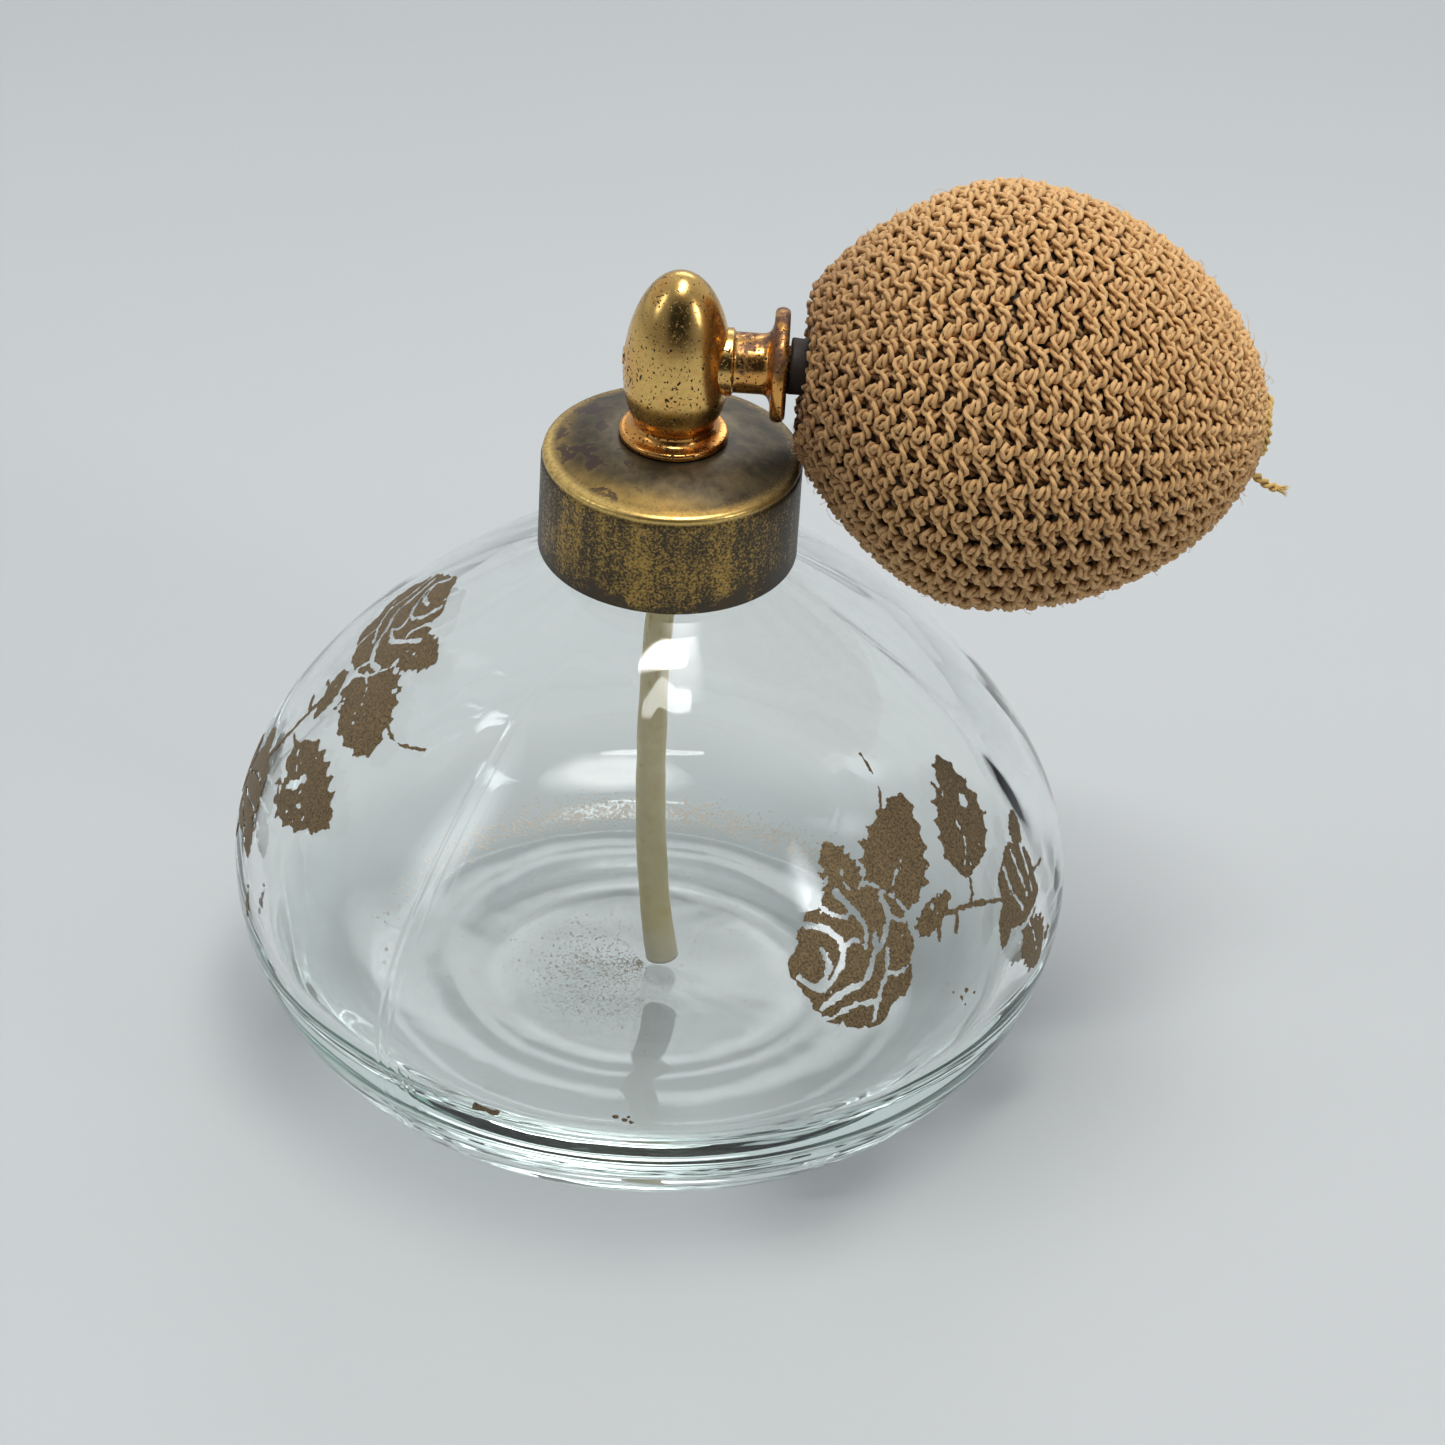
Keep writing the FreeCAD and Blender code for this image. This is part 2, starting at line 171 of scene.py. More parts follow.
def lathe(profile, thetas, shape=None):
    """Vertices and faces of a turned shape. Profile points at r 0 at either end become poles."""
    prof = np.asarray(profile, float)
    a, b = prof[0, 0] < 1e-6, prof[-1, 0] < 1e-6
    body = prof[(1 if a else 0):(len(prof) - (1 if b else 0))]
    closed = not a and not b
    r, z = body[:, :1], body[:, 1:]
    th = thetas[None, :]
    if shape is None:
        rr, zz = np.broadcast_to(r, (len(body), len(thetas))), np.broadcast_to(z, (len(body), len(thetas)))
    else:
        rr, zz = shape(np.broadcast_to(r, (len(body), len(thetas))).copy(), np.broadcast_to(z, (len(body), len(thetas))).copy(),
                       np.broadcast_to(th, (len(body), len(thetas))))
    v = np.stack([rr * np.cos(th), rr * np.sin(th), zz], -1).reshape(-1, 3)
    extra = []
    if a:
        extra.append([0, 0, prof[0, 1]])
    if b:
        extra.append([0, 0, prof[-1, 1]])
    if extra:
        v = np.concatenate([v, np.array(extra)])
    return v, lathe_faces(len(body), len(thetas), a, b, closed)


def frames_along(p):
    """Tangents and two side vectors along polylines p of shape (n, m, 3), carried without twist."""
    t = np.gradient(p, axis=1)
    t /= np.linalg.norm(t, axis=2, keepdims=True) + 1e-12
    ref = np.where(np.abs(t[:, 0, 2:3]) < 0.9, np.array([[0, 0, 1.0]]), np.array([[1.0, 0, 0]]))
    s = np.zeros_like(p)
    cur = np.cross(t[:, 0], ref)
    cur /= np.linalg.norm(cur, axis=1, keepdims=True)
    s[:, 0] = cur
    for k in range(1, p.shape[1]):
        cur = cur - t[:, k] * (cur * t[:, k]).sum(1, keepdims=True)
        cur /= np.linalg.norm(cur, axis=1, keepdims=True) + 1e-12
        s[:, k] = cur
    return t, s, np.cross(t, s)


def tubes(p, radius, sides, squash=1.0):
    """Closed tubes along polylines p (n, m, 3). radius is a number or (n, m). Returns vertices, faces, angle, length."""
    n, m = p.shape[:2]
    t, s, u = frames_along(p)
    rad = np.broadcast_to(radius, (n, m))[..., None, None]
    ang = np.linspace(0, 2 * np.pi, sides, endpoint=False)
    ring = p[:, :, None] + rad * (np.cos(ang)[None, None, :, None] * s[:, :, None] + squash * np.sin(ang)[None, None, :, None] * u[:, :, None])
    v = ring.reshape(-1, 3)
    k, a, c = np.meshgrid(np.arange(n), np.arange(m - 1), np.arange(sides), indexing="ij")
    b0 = k * m * sides
    cn = (c + 1) % sides
    quads = np.stack([b0 + a * sides + c, b0 + a * sides + cn, b0 + (a + 1) * sides + cn, b0 + (a + 1) * sides + c], -1).reshape(-1, 4)
    first = (np.arange(n) * m * sides)[:, None] + np.arange(sides)[::-1][None]
    last = (np.arange(n) * m * sides + (m - 1) * sides)[:, None] + np.arange(sides)[None]
    length = np.concatenate([np.zeros((n, 1)), np.cumsum(np.linalg.norm(np.diff(p, axis=1), axis=2), 1)], 1)
    ll = np.broadcast_to(length[:, :, None], (n, m, sides)).reshape(-1)
    aa = np.broadcast_to((ang / (2 * np.pi))[None, None], (n, m, sides)).reshape(-1)
    return v, [quads, first, last], aa, ll


def catmull(c, n):
    """n points along smooth curves through control points c of shape (k, q, 3)."""
    c = np.asarray(c, float)
    q = c.shape[1]
    ext = np.concatenate([2 * c[:, :1] - c[:, 1:2], c, 2 * c[:, -1:] - c[:, -2:-1]], 1)
    x = np.linspace(0, q - 1, n)
    i = np.minimum(x.astype(int), q - 2)
    t = (x - i)[None, :, None]
    a, b, d, e = ext[:, i], ext[:, i + 1], ext[:, i + 2], ext[:, i + 3]
    return 0.5 * (2 * b + (d - a) * t + (2 * a - 5 * b + 4 * d - e) * t * t + (3 * b - a - 3 * d + e) * t ** 3)


# ================================================================= materials
class Mat:
    """Short helper for node materials. Texture space is the piece's own frame, in metres."""

    def __init__(self, name):
        self.m = bpy.data.materials.new(name)
        self.m.use_nodes = True
        self.t = self.m.node_tree
        self.b = self.t.nodes["Principled BSDF"]
        self.out = self.t.nodes["Material Output"]
        self.co = self.t.nodes.new("ShaderNodeTexCoord").outputs["Object"]
        sep = self.t.nodes.new("ShaderNodeSeparateXYZ")
        self.t.links.new(self.co, sep.inputs[0])
        self.x, self.y, self.z = sep.outputs

    def put(self, sock, value):
        if isinstance(value, bpy.types.NodeSocket):
            self.t.links.new(value, sock)
        elif value is not None:
            sock.default_value = value

    def setb(self, **kw):
        for k, v in kw.items():
            name = k.replace("_", " ").title().replace("Ior", "IOR")
            self.put(self.b.inputs[name], (*v, 1.0) if isinstance(v, tuple) and len(v) == 3 else v)

    def noise(self, scale, detail=2.0, rough=0.5, dist=0.0, co=None):
        n = self.t.nodes.new("ShaderNodeTexNoise")
        self.put(n.inputs["Vector"], co or self.co)
        n.inputs["Scale"].default_value = scale
        n.inputs["Detail"].default_value = detail
        n.inputs["Roughness"].default_value = rough
        n.inputs["Distortion"].default_value = dist
        return n.outputs["Fac"]

    def voronoi(self, scale, co=None, rand=1.0, feature="F1"):
        n = self.t.nodes.new("ShaderNodeTexVoronoi")
        n.feature = feature
        self.put(n.inputs["Vector"], co or self.co)
        n.inputs["Scale"].default_value = scale
        n.inputs["Randomness"].default_value = rand
        return n.outputs["Distance"]

    def map(self, v, a, b, c=0.0, d=1.0, smooth=False):
        n = self.t.nodes.new("ShaderNodeMapRange")
        if smooth:
            n.interpolation_type = "SMOOTHSTEP"
        self.put(n.inputs["Value"], v)
        for k, x in zip(("From Min", "From Max", "To Min", "To Max"), (a, b, c, d)):
            n.inputs[k].default_value = x
        return n.outputs["Result"]

    def math(self, op, a, b=None, clamp=False):
        n = self.t.nodes.new("ShaderNodeMath")
        n.operation = op
        n.use_clamp = clamp
        self.put(n.inputs[0], a)
        if b is not None:
            self.put(n.inputs[1], b)
        return n.outputs[0]

    def mix(self, f, a, b, mode="MIX"):
        n = self.t.nodes.new("ShaderNodeMix")
        n.data_type = "RGBA"
        n.blend_type = mode
        self.put(n.inputs[0], f)
        self.put(n.inputs[6], (*a, 1.0) if isinstance(a, tuple) else a)
        self.put(n.inputs[7], (*b, 1.0) if isinstance(b, tuple) else b)
        return n.outputs[2]

    def mixf(self, f, a, b):
        n = self.t.nodes.new("ShaderNodeMix")
        self.put(n.inputs[0], f)
        self.put(n.inputs[2], a)
        self.put(n.inputs[3], b)
        return n.outputs[0]

    def attr(self, name):
        n = self.t.nodes.new("ShaderNodeAttribute")
        n.attribute_name = name
        return n.outputs["Fac"]

    def stretch(self, sx, sy, sz):
        n = self.t.nodes.new("ShaderNodeMapping")
        self.put(n.inputs["Vector"], self.co)
        n.inputs["Scale"].default_value = (sx, sy, sz)
        return n.outputs[0]

    def bump(self, height, strength, distance, normal=None):
        n = self.t.nodes.new("ShaderNodeBump")
        self.put(n.inputs["Height"], height)
        n.inputs["Strength"].default_value = strength
        n.inputs["Distance"].default_value = distance
        if normal is not None:
            self.put(n.inputs["Normal"], normal)
        self.put(self.b.inputs["Normal"], n.outputs[0])
        return n.outputs[0]


def make_gilt():
    """Gilt brass of the head and port: bright and pitted, coppery on the port side and in random patches, with painted
    shade as darker copper at the waist.
    """
    m = Mat("gilt_brass")
    big = m.noise(260, 3, 0.6)
    fine = m.noise(2600, 2, 0.55)
    pits = m.noise(3300, 1.5, 0.6, co=m.stretch(1, 1, 0.8))
    low = m.map(m.z, 0.0900, 0.0740, 0.0, 1.0)
    dens = m.math("ADD", m.math("MULTIPLY", big, 0.20), m.math("MULTIPLY", low, 0.035))
    pit = m.map(m.math("ADD", pits, dens), 0.735, 0.775)
    # painted shade: the waist, where the head narrows under the egg, is darkened to copper
    waist = m.map(m.z, 0.0752, 0.0728, 0.0, 0.85, True)
    side = m.map(m.x, 0.0045, 0.0068, 0.0, 0.75, True)
    copper_tone_and_waist_shade = m.math("MAXIMUM", m.math("MAXIMUM", waist, side), m.map(big, 0.48, 0.72, 0.0, 0.55))
    col = m.mix(copper_tone_and_waist_shade, (0.80, 0.52, 0.17), (0.74, 0.32, 0.075))
    col = m.mix(m.map(fine, 0.35, 0.75, 0.0, 0.35), col, (0.50, 0.29, 0.09))
    tarnish = m.math("MULTIPLY", m.map(m.x, 0.0052, 0.0062, 0.0, 1.0), m.map(m.math("ADD", m.noise(700, 3, 0.65), m.map(m.z, 0.0795, 0.0835, -0.12, 0.16)), 0.52, 0.66))
    col = m.mix(tarnish, col, (0.17, 0.075, 0.035))
    col = m.mix(pit, col, (0.035, 0.018, 0.010))
    m.setb(base_color=col, metallic=m.map(m.math("MAXIMUM", pit, tarnish), 0, 1, 1.0, 0.45),
           roughness=m.math("ADD", m.map(fine, 0.3, 0.7, 0.17, 0.27), m.math("MULTIPLY", m.math("MAXIMUM", pit, tarnish), 0.3)))
    m.bump(m.math("SUBTRACT", m.math("MULTIPLY", fine, 0.10), pit), 0.55, 0.00006)
    return m.m


def make_collar():
    """Worn lacquered brass: dark mottled top, worn bright rolled edge with a painted highlight at the front, granular
    skirt with painted shade at its left and right sides.
    """
    m = Mat("collar_brass")
    grain = m.noise(3800, 2, 0.6)
    grain2 = m.noise(1700, 3, 0.7)
    big = m.noise(170, 3, 0.6, 0.3)
    vert = m.noise(900, 2, 0.5, co=m.stretch(1, 1, 0.07))
    top = m.map(m.z, 0.06925, 0.06985, 0, 1, True)
    # skirt: gold ground under a dark granular film, darker towards the bottom, with painted shade at its left and right
    # sides
    film = m.math("ADD", m.math("ADD", grain, m.math("MULTIPLY", grain2, 0.30)), m.math("MULTIPLY", vert, 0.30))
    low = m.map(m.z, 0.0605, 0.0586, 0.0, 0.07)
    # painted shade: the left and right sides of the skirt are darkened
    right = m.map(m.x, 0.006, 0.0125, 0.0, 0.14)
    left = m.map(m.x, -0.0095, -0.0125, 0.0, 0.10)
    film = m.math("ADD", film, m.math("ADD", m.math("ADD", low, right), m.math("ADD", left, m.map(big, 0.3, 0.75, -0.06, 0.10))))
    dark = m.map(film, 0.66, 0.90)
    skirt = m.mix(dark, (0.43, 0.275, 0.078), (0.055, 0.040, 0.020))
    blotch = m.map(m.math("ADD", m.noise(330, 4, 0.6, 0.4), m.map(m.z, 0.0628, 0.0588, -0.12, 0.10)), 0.545, 0.60)
    skirt = m.mix(m.math("MULTIPLY", blotch, 0.85), skirt, (0.060, 0.045, 0.032))
    # top: brown-grey film; gold towards the front and left of the rim, which is wear plus a painted highlight; dark
    # blotches on the left
    tone = m.noise(420, 4, 0.6, 0.2)
    topc = m.mix(m.map(tone, 0.38, 0.66), (0.050, 0.039, 0.022), (0.135, 0.103, 0.054))
    rim = m.map(m.z, 0.07080, 0.06960, 0.0, 1.0, True)
    # painted highlight: the front and left of the top's rim are made gold, on top of wear
    front = m.math("MULTIPLY", rim, m.map(m.math("SUBTRACT", m.math("MULTIPLY", m.y, -1.0), m.math("MULTIPLY", m.x, 0.45)), 0.0070, 0.0120, 0.0, 0.85, True))
    front = m.math("MAXIMUM", front, m.math("MULTIPLY", rim, m.map(m.x, -0.0085, -0.0115, 0.0, 0.7, True)))
    topc = m.mix(m.math("MULTIPLY", front, m.map(tone, 0.30, 0.55, 0.55, 1.0)), topc, (0.44, 0.28, 0.070))
    near = m.math("MULTIPLY", m.map(m.x, -0.0005, -0.0050), m.map(m.math("ADD", m.noise(420, 4, 0.65, 0.4), m.map(m.x, -0.0045, -0.0095, -0.06, 0.05)), 0.53, 0.58))
    topc = m.mix(m.math("MULTIPLY", near, 0.85), topc, (0.050, 0.026, 0.024))
    topc = m.mix(m.map(grain, 0.60, 0.72, 0.0, 0.45), topc, (0.05, 0.035, 0.02))
    col = m.mix(top, skirt, topc)
    # the rolled edge, worn bright, and brighter towards the front as a painted highlight
    edge = m.math("MULTIPLY", m.map(m.z, 0.06850, 0.06895, 0, 1, True), m.map(m.z, 0.06965, 0.06935, 0, 1, True))
    # painted highlight: the bright edge is strongest at the front
    edge_wear_and_highlight = m.math("MULTIPLY", edge, m.map(m.math("SUBTRACT", m.math("MULTIPLY", m.y, -1.0), m.math("MULTIPLY", m.x, 0.6)), -0.004, 0.009, 0.15, 1.0, True))
    edge_wear_and_highlight = m.math("MULTIPLY", edge_wear_and_highlight, m.map(grain2, 0.30, 0.55, 0.35, 1.0))
    col = m.mix(edge_wear_and_highlight, col, (0.80, 0.55, 0.18))
    oxide = m.math("MULTIPLY", m.math("SUBTRACT", 1.0, edge_wear_and_highlight), m.mixf(top, m.math("MULTIPLY", dark, 0.75), 0.45))
    m.setb(base_color=col, metallic=m.map(oxide, 0, 1, 0.95, 0.25), roughness=m.map(oxide, 0, 1, 0.30, 0.52))
    m.bump(m.math("ADD", m.math("MULTIPLY", grain, 0.6), m.math("MULTIPLY", grain2, 0.6)), 0.30, 0.00006)
    return m.m


def make_plain_brass():
    m = Mat("plain_brass")
    f = m.noise(1500, 3, 0.6)
    col = m.mix(m.map(f, 0.35, 0.7), (0.62, 0.44, 0.17), (0.30, 0.20, 0.08))
    m.setb(base_color=col, metallic=1.0, roughness=m.map(f, 0.3, 0.7, 0.25, 0.45))
    m.bump(m.noise(5000, 1), 0.2, 0.00003)
    return m.m


def make_steel():
    m = Mat("steel")
    f = m.noise(2500, 2, 0.5)
    m.setb(base_color=m.mix(f, (0.55, 0.55, 0.54), (0.40, 0.39, 0.37)), metallic=1.0, roughness=m.map(f, 0.3, 0.7, 0.2, 0.35))
    return m.m


def make_rubber(name, a, b):
    m = Mat(name)
    f = m.noise(900, 4, 0.6)
    m.setb(base_color=m.mix(m.map(f, 0.3, 0.7), a, b), roughness=m.map(f, 0.3, 0.7, 0.5, 0.75), specular_ior_level=0.35)
    m.bump(m.noise(3000, 2), 0.25, 0.00008)
    return m.m


def make_glass():
    """Clear, slightly green pressed glass. Light reaches the inside through a transparent shadow."""
    m = Mat("bottle_glass")
    haze = m.noise(120, 4, 0.6)
    m.setb(base_color=(0.985, 0.998, 0.992), roughness=m.map(haze, 0.50, 0.85, 0.0, 0.06), transmission_weight=1.0, ior=1.50)
    tr = m.t.nodes.new("ShaderNodeBsdfTransparent")
    tr.inputs[0].default_value = (0.905, 0.912, 0.912, 1)
    lp = m.t.nodes.new("ShaderNodeLightPath")
    mx = m.t.nodes.new("ShaderNodeMixShader")
    m.t.links.new(m.math("MAXIMUM", lp.outputs["Is Shadow Ray"], lp.outputs["Is Diffuse Ray"]), mx.inputs[0])
    m.t.links.new(m.b.outputs[0], mx.inputs[1])
    m.t.links.new(tr.outputs[0], mx.inputs[2])
    m.t.links.new(mx.outputs[0], m.out.inputs["Surface"])
    ab = m.t.nodes.new("ShaderNodeVolumeAbsorption")
    ab.inputs["Color"].default_value = (0.62, 0.93, 0.84, 1)
    ab.inputs["Density"].default_value = 5.0
    m.t.links.new(ab.outputs[0], m.out.inputs["Volume"])
    m.bump(m.noise(70, 2, 0.5, co=m.stretch(1, 1, 0.5)), 0.04, 0.0005)
    return m.m


def make_decal():
    """Matt granular bronze ink, fired on."""
    m = Mat("decal_bronze")
    g = m.noise(4200, 2, 0.6)
    g2 = m.noise(1400, 3, 0.6)
    col = m.mix(m.map(g, 0.36, 0.66), (0.075, 0.048, 0.020), (0.27, 0.185, 0.085))
    col = m.mix(m.map(g2, 0.45, 0.75, 0.0, 0.5), col, (0.155, 0.105, 0.05))
    m.setb(base_color=col, metallic=0.35, roughness=m.map(g, 0.3, 0.7, 0.42, 0.62))
    m.bump(g, 0.5, 0.00007)
    return m.m


def make_tube():
    """Aged ivory plastic with orange stains, denser towards the top."""
    m = Mat("ivory_tube")
    f = m.noise(420, 4, 0.65, 0.3)
    h = m.map(m.z, 0.020, 0.060, -0.10, 0.10)
    spots = m.map(m.math("ADD", m.noise(760, 3, 0.6, co=m.stretch(1, 1, 0.55)), h), 0.60, 0.74)
    col = m.mix(m.map(f, 0.3, 0.7), (0.89, 0.77, 0.46), (0.80, 0.65, 0.33))
    col = m.mix(m.math("MULTIPLY", spots, 0.8), col, (0.66, 0.39, 0.10))
    col = m.mix(m.map(m.z, 0.013, 0.006, 0.0, 0.75), col, (0.84, 0.80, 0.70))
    m.setb(base_color=col, roughness=m.map(f, 0.3, 0.7, 0.32, 0.5), subsurface_weight=0.15, subsurface_scale=0.0015)
    m.bump(m.noise(1500, 3), 0.2, 0.0001)
    return m.m


def make_yarn(name, light, mid, dark, rough=0.55):
    """Silky two-ply cotton: fibre lines along each ply, a tint per strand, soiling towards the neck, and painted shade
    between the plies, on strands that lie beneath others and on the underside of the bulb.
    """
    m = Mat(name)
    uvn = m.t.nodes.new("ShaderNodeUVMap")
    uvn.uv_map = "UVMap"
    mp = m.t.nodes.new("ShaderNodeMapping")
    m.put(mp.inputs["Vector"], uvn.outputs[0])
    mp.inputs["Scale"].default_value = (9.0, 1.1, 1.0)
    fib = m.noise(1.0, 3, 0.6, co=mp.outputs[0])
    tint = m.attr("tint")
    neck_dirt_and_underside_shade = m.attr("neck_dirt_and_underside_shade")
    depth_shade = m.attr("depth_shade")
    col = m.mix(m.map(fib, 0.34, 0.66), mid, light)
    col = m.mix(m.map(tint, 0.0, 1.0, 0.0, 0.40), col, mid)
    col = m.mix(m.map(fib, 0.44, 0.30, 0.0, 0.55), col, dark)
    patch = m.noise(110, 3, 0.6)
    col = m.mix(m.map(patch, 0.40, 0.70, 0.0, 0.30), col, mid)
    # painted shade in the furrow between the two plies
    col = m.mix(m.math("MULTIPLY", m.attr("ply_groove_shade"), 0.75), col, dark)
    # painted shade on strands that lie beneath others
    col = m.mix(m.math("MULTIPLY", depth_shade, 0.70), col, tuple(0.45 * c for c in dark))
    # soiling towards the neck, and painted shade on the underside of the bulb
    col = m.mix(m.math("MULTIPLY", neck_dirt_and_underside_shade, m.map(m.noise(500, 3, 0.6), 0.3, 0.7, 0.45, 1.0)), col, (dark[0] * 0.72, dark[1] * 0.62, dark[2] * 0.55))
    m.setb(base_color=col, roughness=m.map(fib, 0.3, 0.7, rough, rough + 0.18), sheen_weight=0.25, sheen_roughness=0.45, specular_ior_level=0.45)
    m.b.inputs["Sheen Tint"].default_value = (1.0, 0.86, 0.62, 1)
    m.bump(fib, 0.55, 0.00007)
    return m.m


def make_residue(name, a, b, rough=0.8):
    m = Mat(name)
    f = m.noise(2500, 3, 0.6)
    m.setb(base_color=m.mix(f, a, b), roughness=rough)
    return m.m


M_GILT, M_COLLAR, M_BRASS, M_STEEL = make_gilt(), make_collar(), make_plain_brass(), make_steel()
M_RUB = make_rubber("bulb_rubber", (0.020, 0.016, 0.013), (0.055, 0.038, 0.026))
M_GASKET = make_rubber("gasket_rubber", (0.035, 0.03, 0.028), (0.08, 0.07, 0.06))
M_GLASS, M_DECAL, M_TUBE = make_glass(), make_decal(), make_tube()
M_YARN = make_yarn("knit", (0.92, 0.590, 0.270), (0.72, 0.410, 0.155), (0.26, 0.118, 0.038))
M_CORD = make_yarn("cord", (0.86, 0.62, 0.22), (0.72, 0.46, 0.12), (0.42, 0.24, 0.05))
M_WHITE = make_residue("chalky_residue", (0.74, 0.70, 0.64), (0.60, 0.54, 0.46))
M_BROWN = make_residue("brown_residue", (0.42, 0.37, 0.26), (0.30, 0.25, 0.16))

for n, mat in {"nozzle_insert": M_GILT, "siphon_tube": M_BRASS, "siphon_bush": M_BRASS, "stem_nut": M_BRASS,
               "pressure_plate": M_BRASS, "thread_insert": M_BRASS, "outlet_valve_seat": M_BRASS, "outlet_valve_ball": M_STEEL,
               "inlet_valve_body": M_BRASS, "inlet_valve_retainer": M_BRASS, "inlet_valve_ball": M_STEEL, "neck_gasket": M_GASKET}.items():
    o = nodes[n]
    o.data.materials.clear()
    o.data.materials.append(mat)


# ===================================================================== bottle
R, W, RI = 43.2, 20.4, 40.8
OUT = chain((0.0, 0.0),
            seg((0, 0), (26.5, 0), 12),
            bez((26.5, 0), (35.0, 0), (R, 9.6), (R, W), 44),
            bez((R, W), (R, 33.8), (24.0, 50.0), (12.2, 57.6), 84),
            bez((12.2, 57.6), (11.1, 58.31), (10.6, 58.7), (10.6, 59.6), 8),
            seg((10.6, 59.6), (10.6, 66.6), 46),
            bez((10.6, 66.6), (10.6, 67.1), (10.3, 67.4), (9.8, 67.4), 5),
            seg((9.8, 67.4), (8.0, 67.4), 2),
            bez((8.0, 67.4), (7.5, 67.4), (7.2, 67.1), (7.2, 66.6), 5))
INN = chain((7.2, 66.6),
            seg((7.2, 66.6), (7.2, 60.6), 6),
            bez((7.2, 60.6), (7.2, 57.6), (9.4, 56.1), (12.2, 54.3), 14),
            bez((12.2, 54.3), (23.6, 46.9), (RI, 33.0), (RI, W), 70),
            bez((RI, W), (RI, 11.6), (33.0, 5.2), (19.0, 4.8), 40),
            bez((19.0, 4.8), (14.0, 4.66), (8.0, 5.4), (0.0, 5.4), 14))[1:]
# extra thickness of the inner face, so that a broad moulded ring stands on the floor
SEAMS = (math.radians(-125.0), math.radians(55.0))


def angle_steps():
    base = np.linspace(-math.pi, math.pi, 224, endpoint=False)
    extra = [s + math.radians(d) for s in SEAMS for d in np.arange(-2.6, 2.61, 0.2)]
    return np.unique(np.round(np.concatenate([base, extra]), 6))


def wrap(a):
    return (a + np.pi) % (2 * np.pi) - np.pi


def outer_shape(r, z, th):
    """Mould seams, thread and slight waviness of the outside."""
    shp = r.shape
    r0 = r.copy()
    body = np.clip((r0 - 12.5) / 6.0, 0, 1) * np.clip((z - 1.0) / 5.0, 0, 1)
    p = np.stack([np.cos(th) * 2.2, np.sin(th) * 2.2, z / 26.0], -1).reshape(-1, 3)
    wav = (fnoise(p, 2, 5).reshape(shp) - 0.5) * 0.12
    streak = (fnoise(np.stack([th * 5.0, th * 0, z / 30.0], -1).reshape(-1, 3), 2, 11).reshape(shp) - 0.5) * 0.10
    top = np.clip((z - 38.0) / 14.0, 0, 1)
    d = wav + streak * top
    ridge = 0
    for s in SEAMS:
        arc = wrap(th - s) * r0
        ridge = ridge + 0.030 * np.exp(-((arc + 0.55) / 0.22) ** 2) + 0.018 * np.exp(-((arc - 0.65) / 0.20) ** 2)
    d = (d + ridge) * body
    # thread
    turn = (z - 60.6) / 3.0
    frac = turn - th / (2 * np.pi)
    k = np.round(frac)
    along = k + th / (2 * np.pi)
    off = np.abs((turn - along) * 3.0)
    on = np.clip(1 - (off - 0.32) / 0.52, 0, 1) * (along > -0.02) * (along < 1.52) * (r0 > 10.4) * (r0 < 10.7) * (z > 59.2)
    fade = np.clip((along + 0.02) / 0.06, 0, 1) * np.clip((1.52 - along) / 0.06, 0, 1)
    return r0 + d + 0.88 * on * fade, z


def inner_shape(r, z, th):
    """The blown inside: slow waves, draw lines towards the neck, an uneven floor."""
    shp = r.shape
    r0 = r.copy()
    x, y = np.cos(th) * r0, np.sin(th) * r0
    p = np.stack([x / 17.0, y / 17.0, z / 15.0], -1).reshape(-1, 3)
    front = np.clip((-np.sin(th) - 0.35) / 0.5, 0, 1) * np.clip((58 - z) / 8.0, 0, 1)
    wav = (fnoise(p, 2, 21).reshape(shp) - 0.5) * (0.85 - 0.60 * front)
    lines = (fnoise(np.stack([np.cos(th) * 3.6, np.sin(th) * 3.6, z / 44.0], -1).reshape(-1, 3), 3, 33).reshape(shp) - 0.5) * (0.95 - 0.80 * front)
    up = np.clip((z - 20.0) / 24.0, 0, 1) * np.clip((61 - z) / 5.0, 0, 1)
    wall = np.clip((z - 5.6) / 8.0, 0, 1) * np.clip((61 - z) / 4.0, 0, 1)
    r1 = r0 + (wav * 0.75 * wall + lines * (0.25 + 0.75 * up) * wall) - 0.12 * wall
    # floor: a low ring and a shallow hollow inside it
    floor = np.clip((8.5 - z) / 2.5, 0, 1) * (r0 < 36)
    ring = 0.40 * np.exp(-((r0 - 20.5) / 1.9) ** 2) - 0.20 * np.exp(-((r0 - 15.5) / 3.2) ** 2)
    ripple = (fnoise(np.stack([x / 6.5, y / 6.5, x * 0], -1).reshape(-1, 3), 3, 44).reshape(shp) - 0.5) * 0.22
    return r1, z + floor * (ring + ripple)


TH = angle_steps()
ro, zo = OUT[1:, :1] + 0 * TH, OUT[1:, 1:] + 0 * TH
tt = np.broadcast_to(TH, ro.shape)
ro, zo = outer_shape(ro, zo, tt)
ri_, zi_ = INN[:-1, :1] + 0 * TH, INN[:-1, 1:] + 0 * TH
ti = np.broadcast_to(TH, ri_.shape)
ri_, zi_ = inner_shape(ri_, zi_, ti)
# the underside is very slightly dished, so it stands on a ring
dish = np.clip((24.0 - ro) / 6.0, 0, 1) * 0.35 * (zo < 0.5)
zo = zo + dish
rr, zz = np.concatenate([ro, ri_]), np.concatenate([zo, zi_])
verts = np.stack([rr * np.cos(TH), rr * np.sin(TH), zz], -1).reshape(-1, 3)
verts = np.concatenate([verts, [[0, 0, 0.35], [0, 0, 5.45]]])
glass = build("bottle_glass", verts, lathe_faces(len(rr), len(TH), True, True), M_GLASS, "bottle")
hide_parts("glass_bottle")


# ------------------------------------------------- surface of the outside
PR = np.concatenate([OUT[12:150]])
ARC = np.concatenate([[0], np.cumsum(np.linalg.norm(np.diff(PR, axis=0), axis=1))])


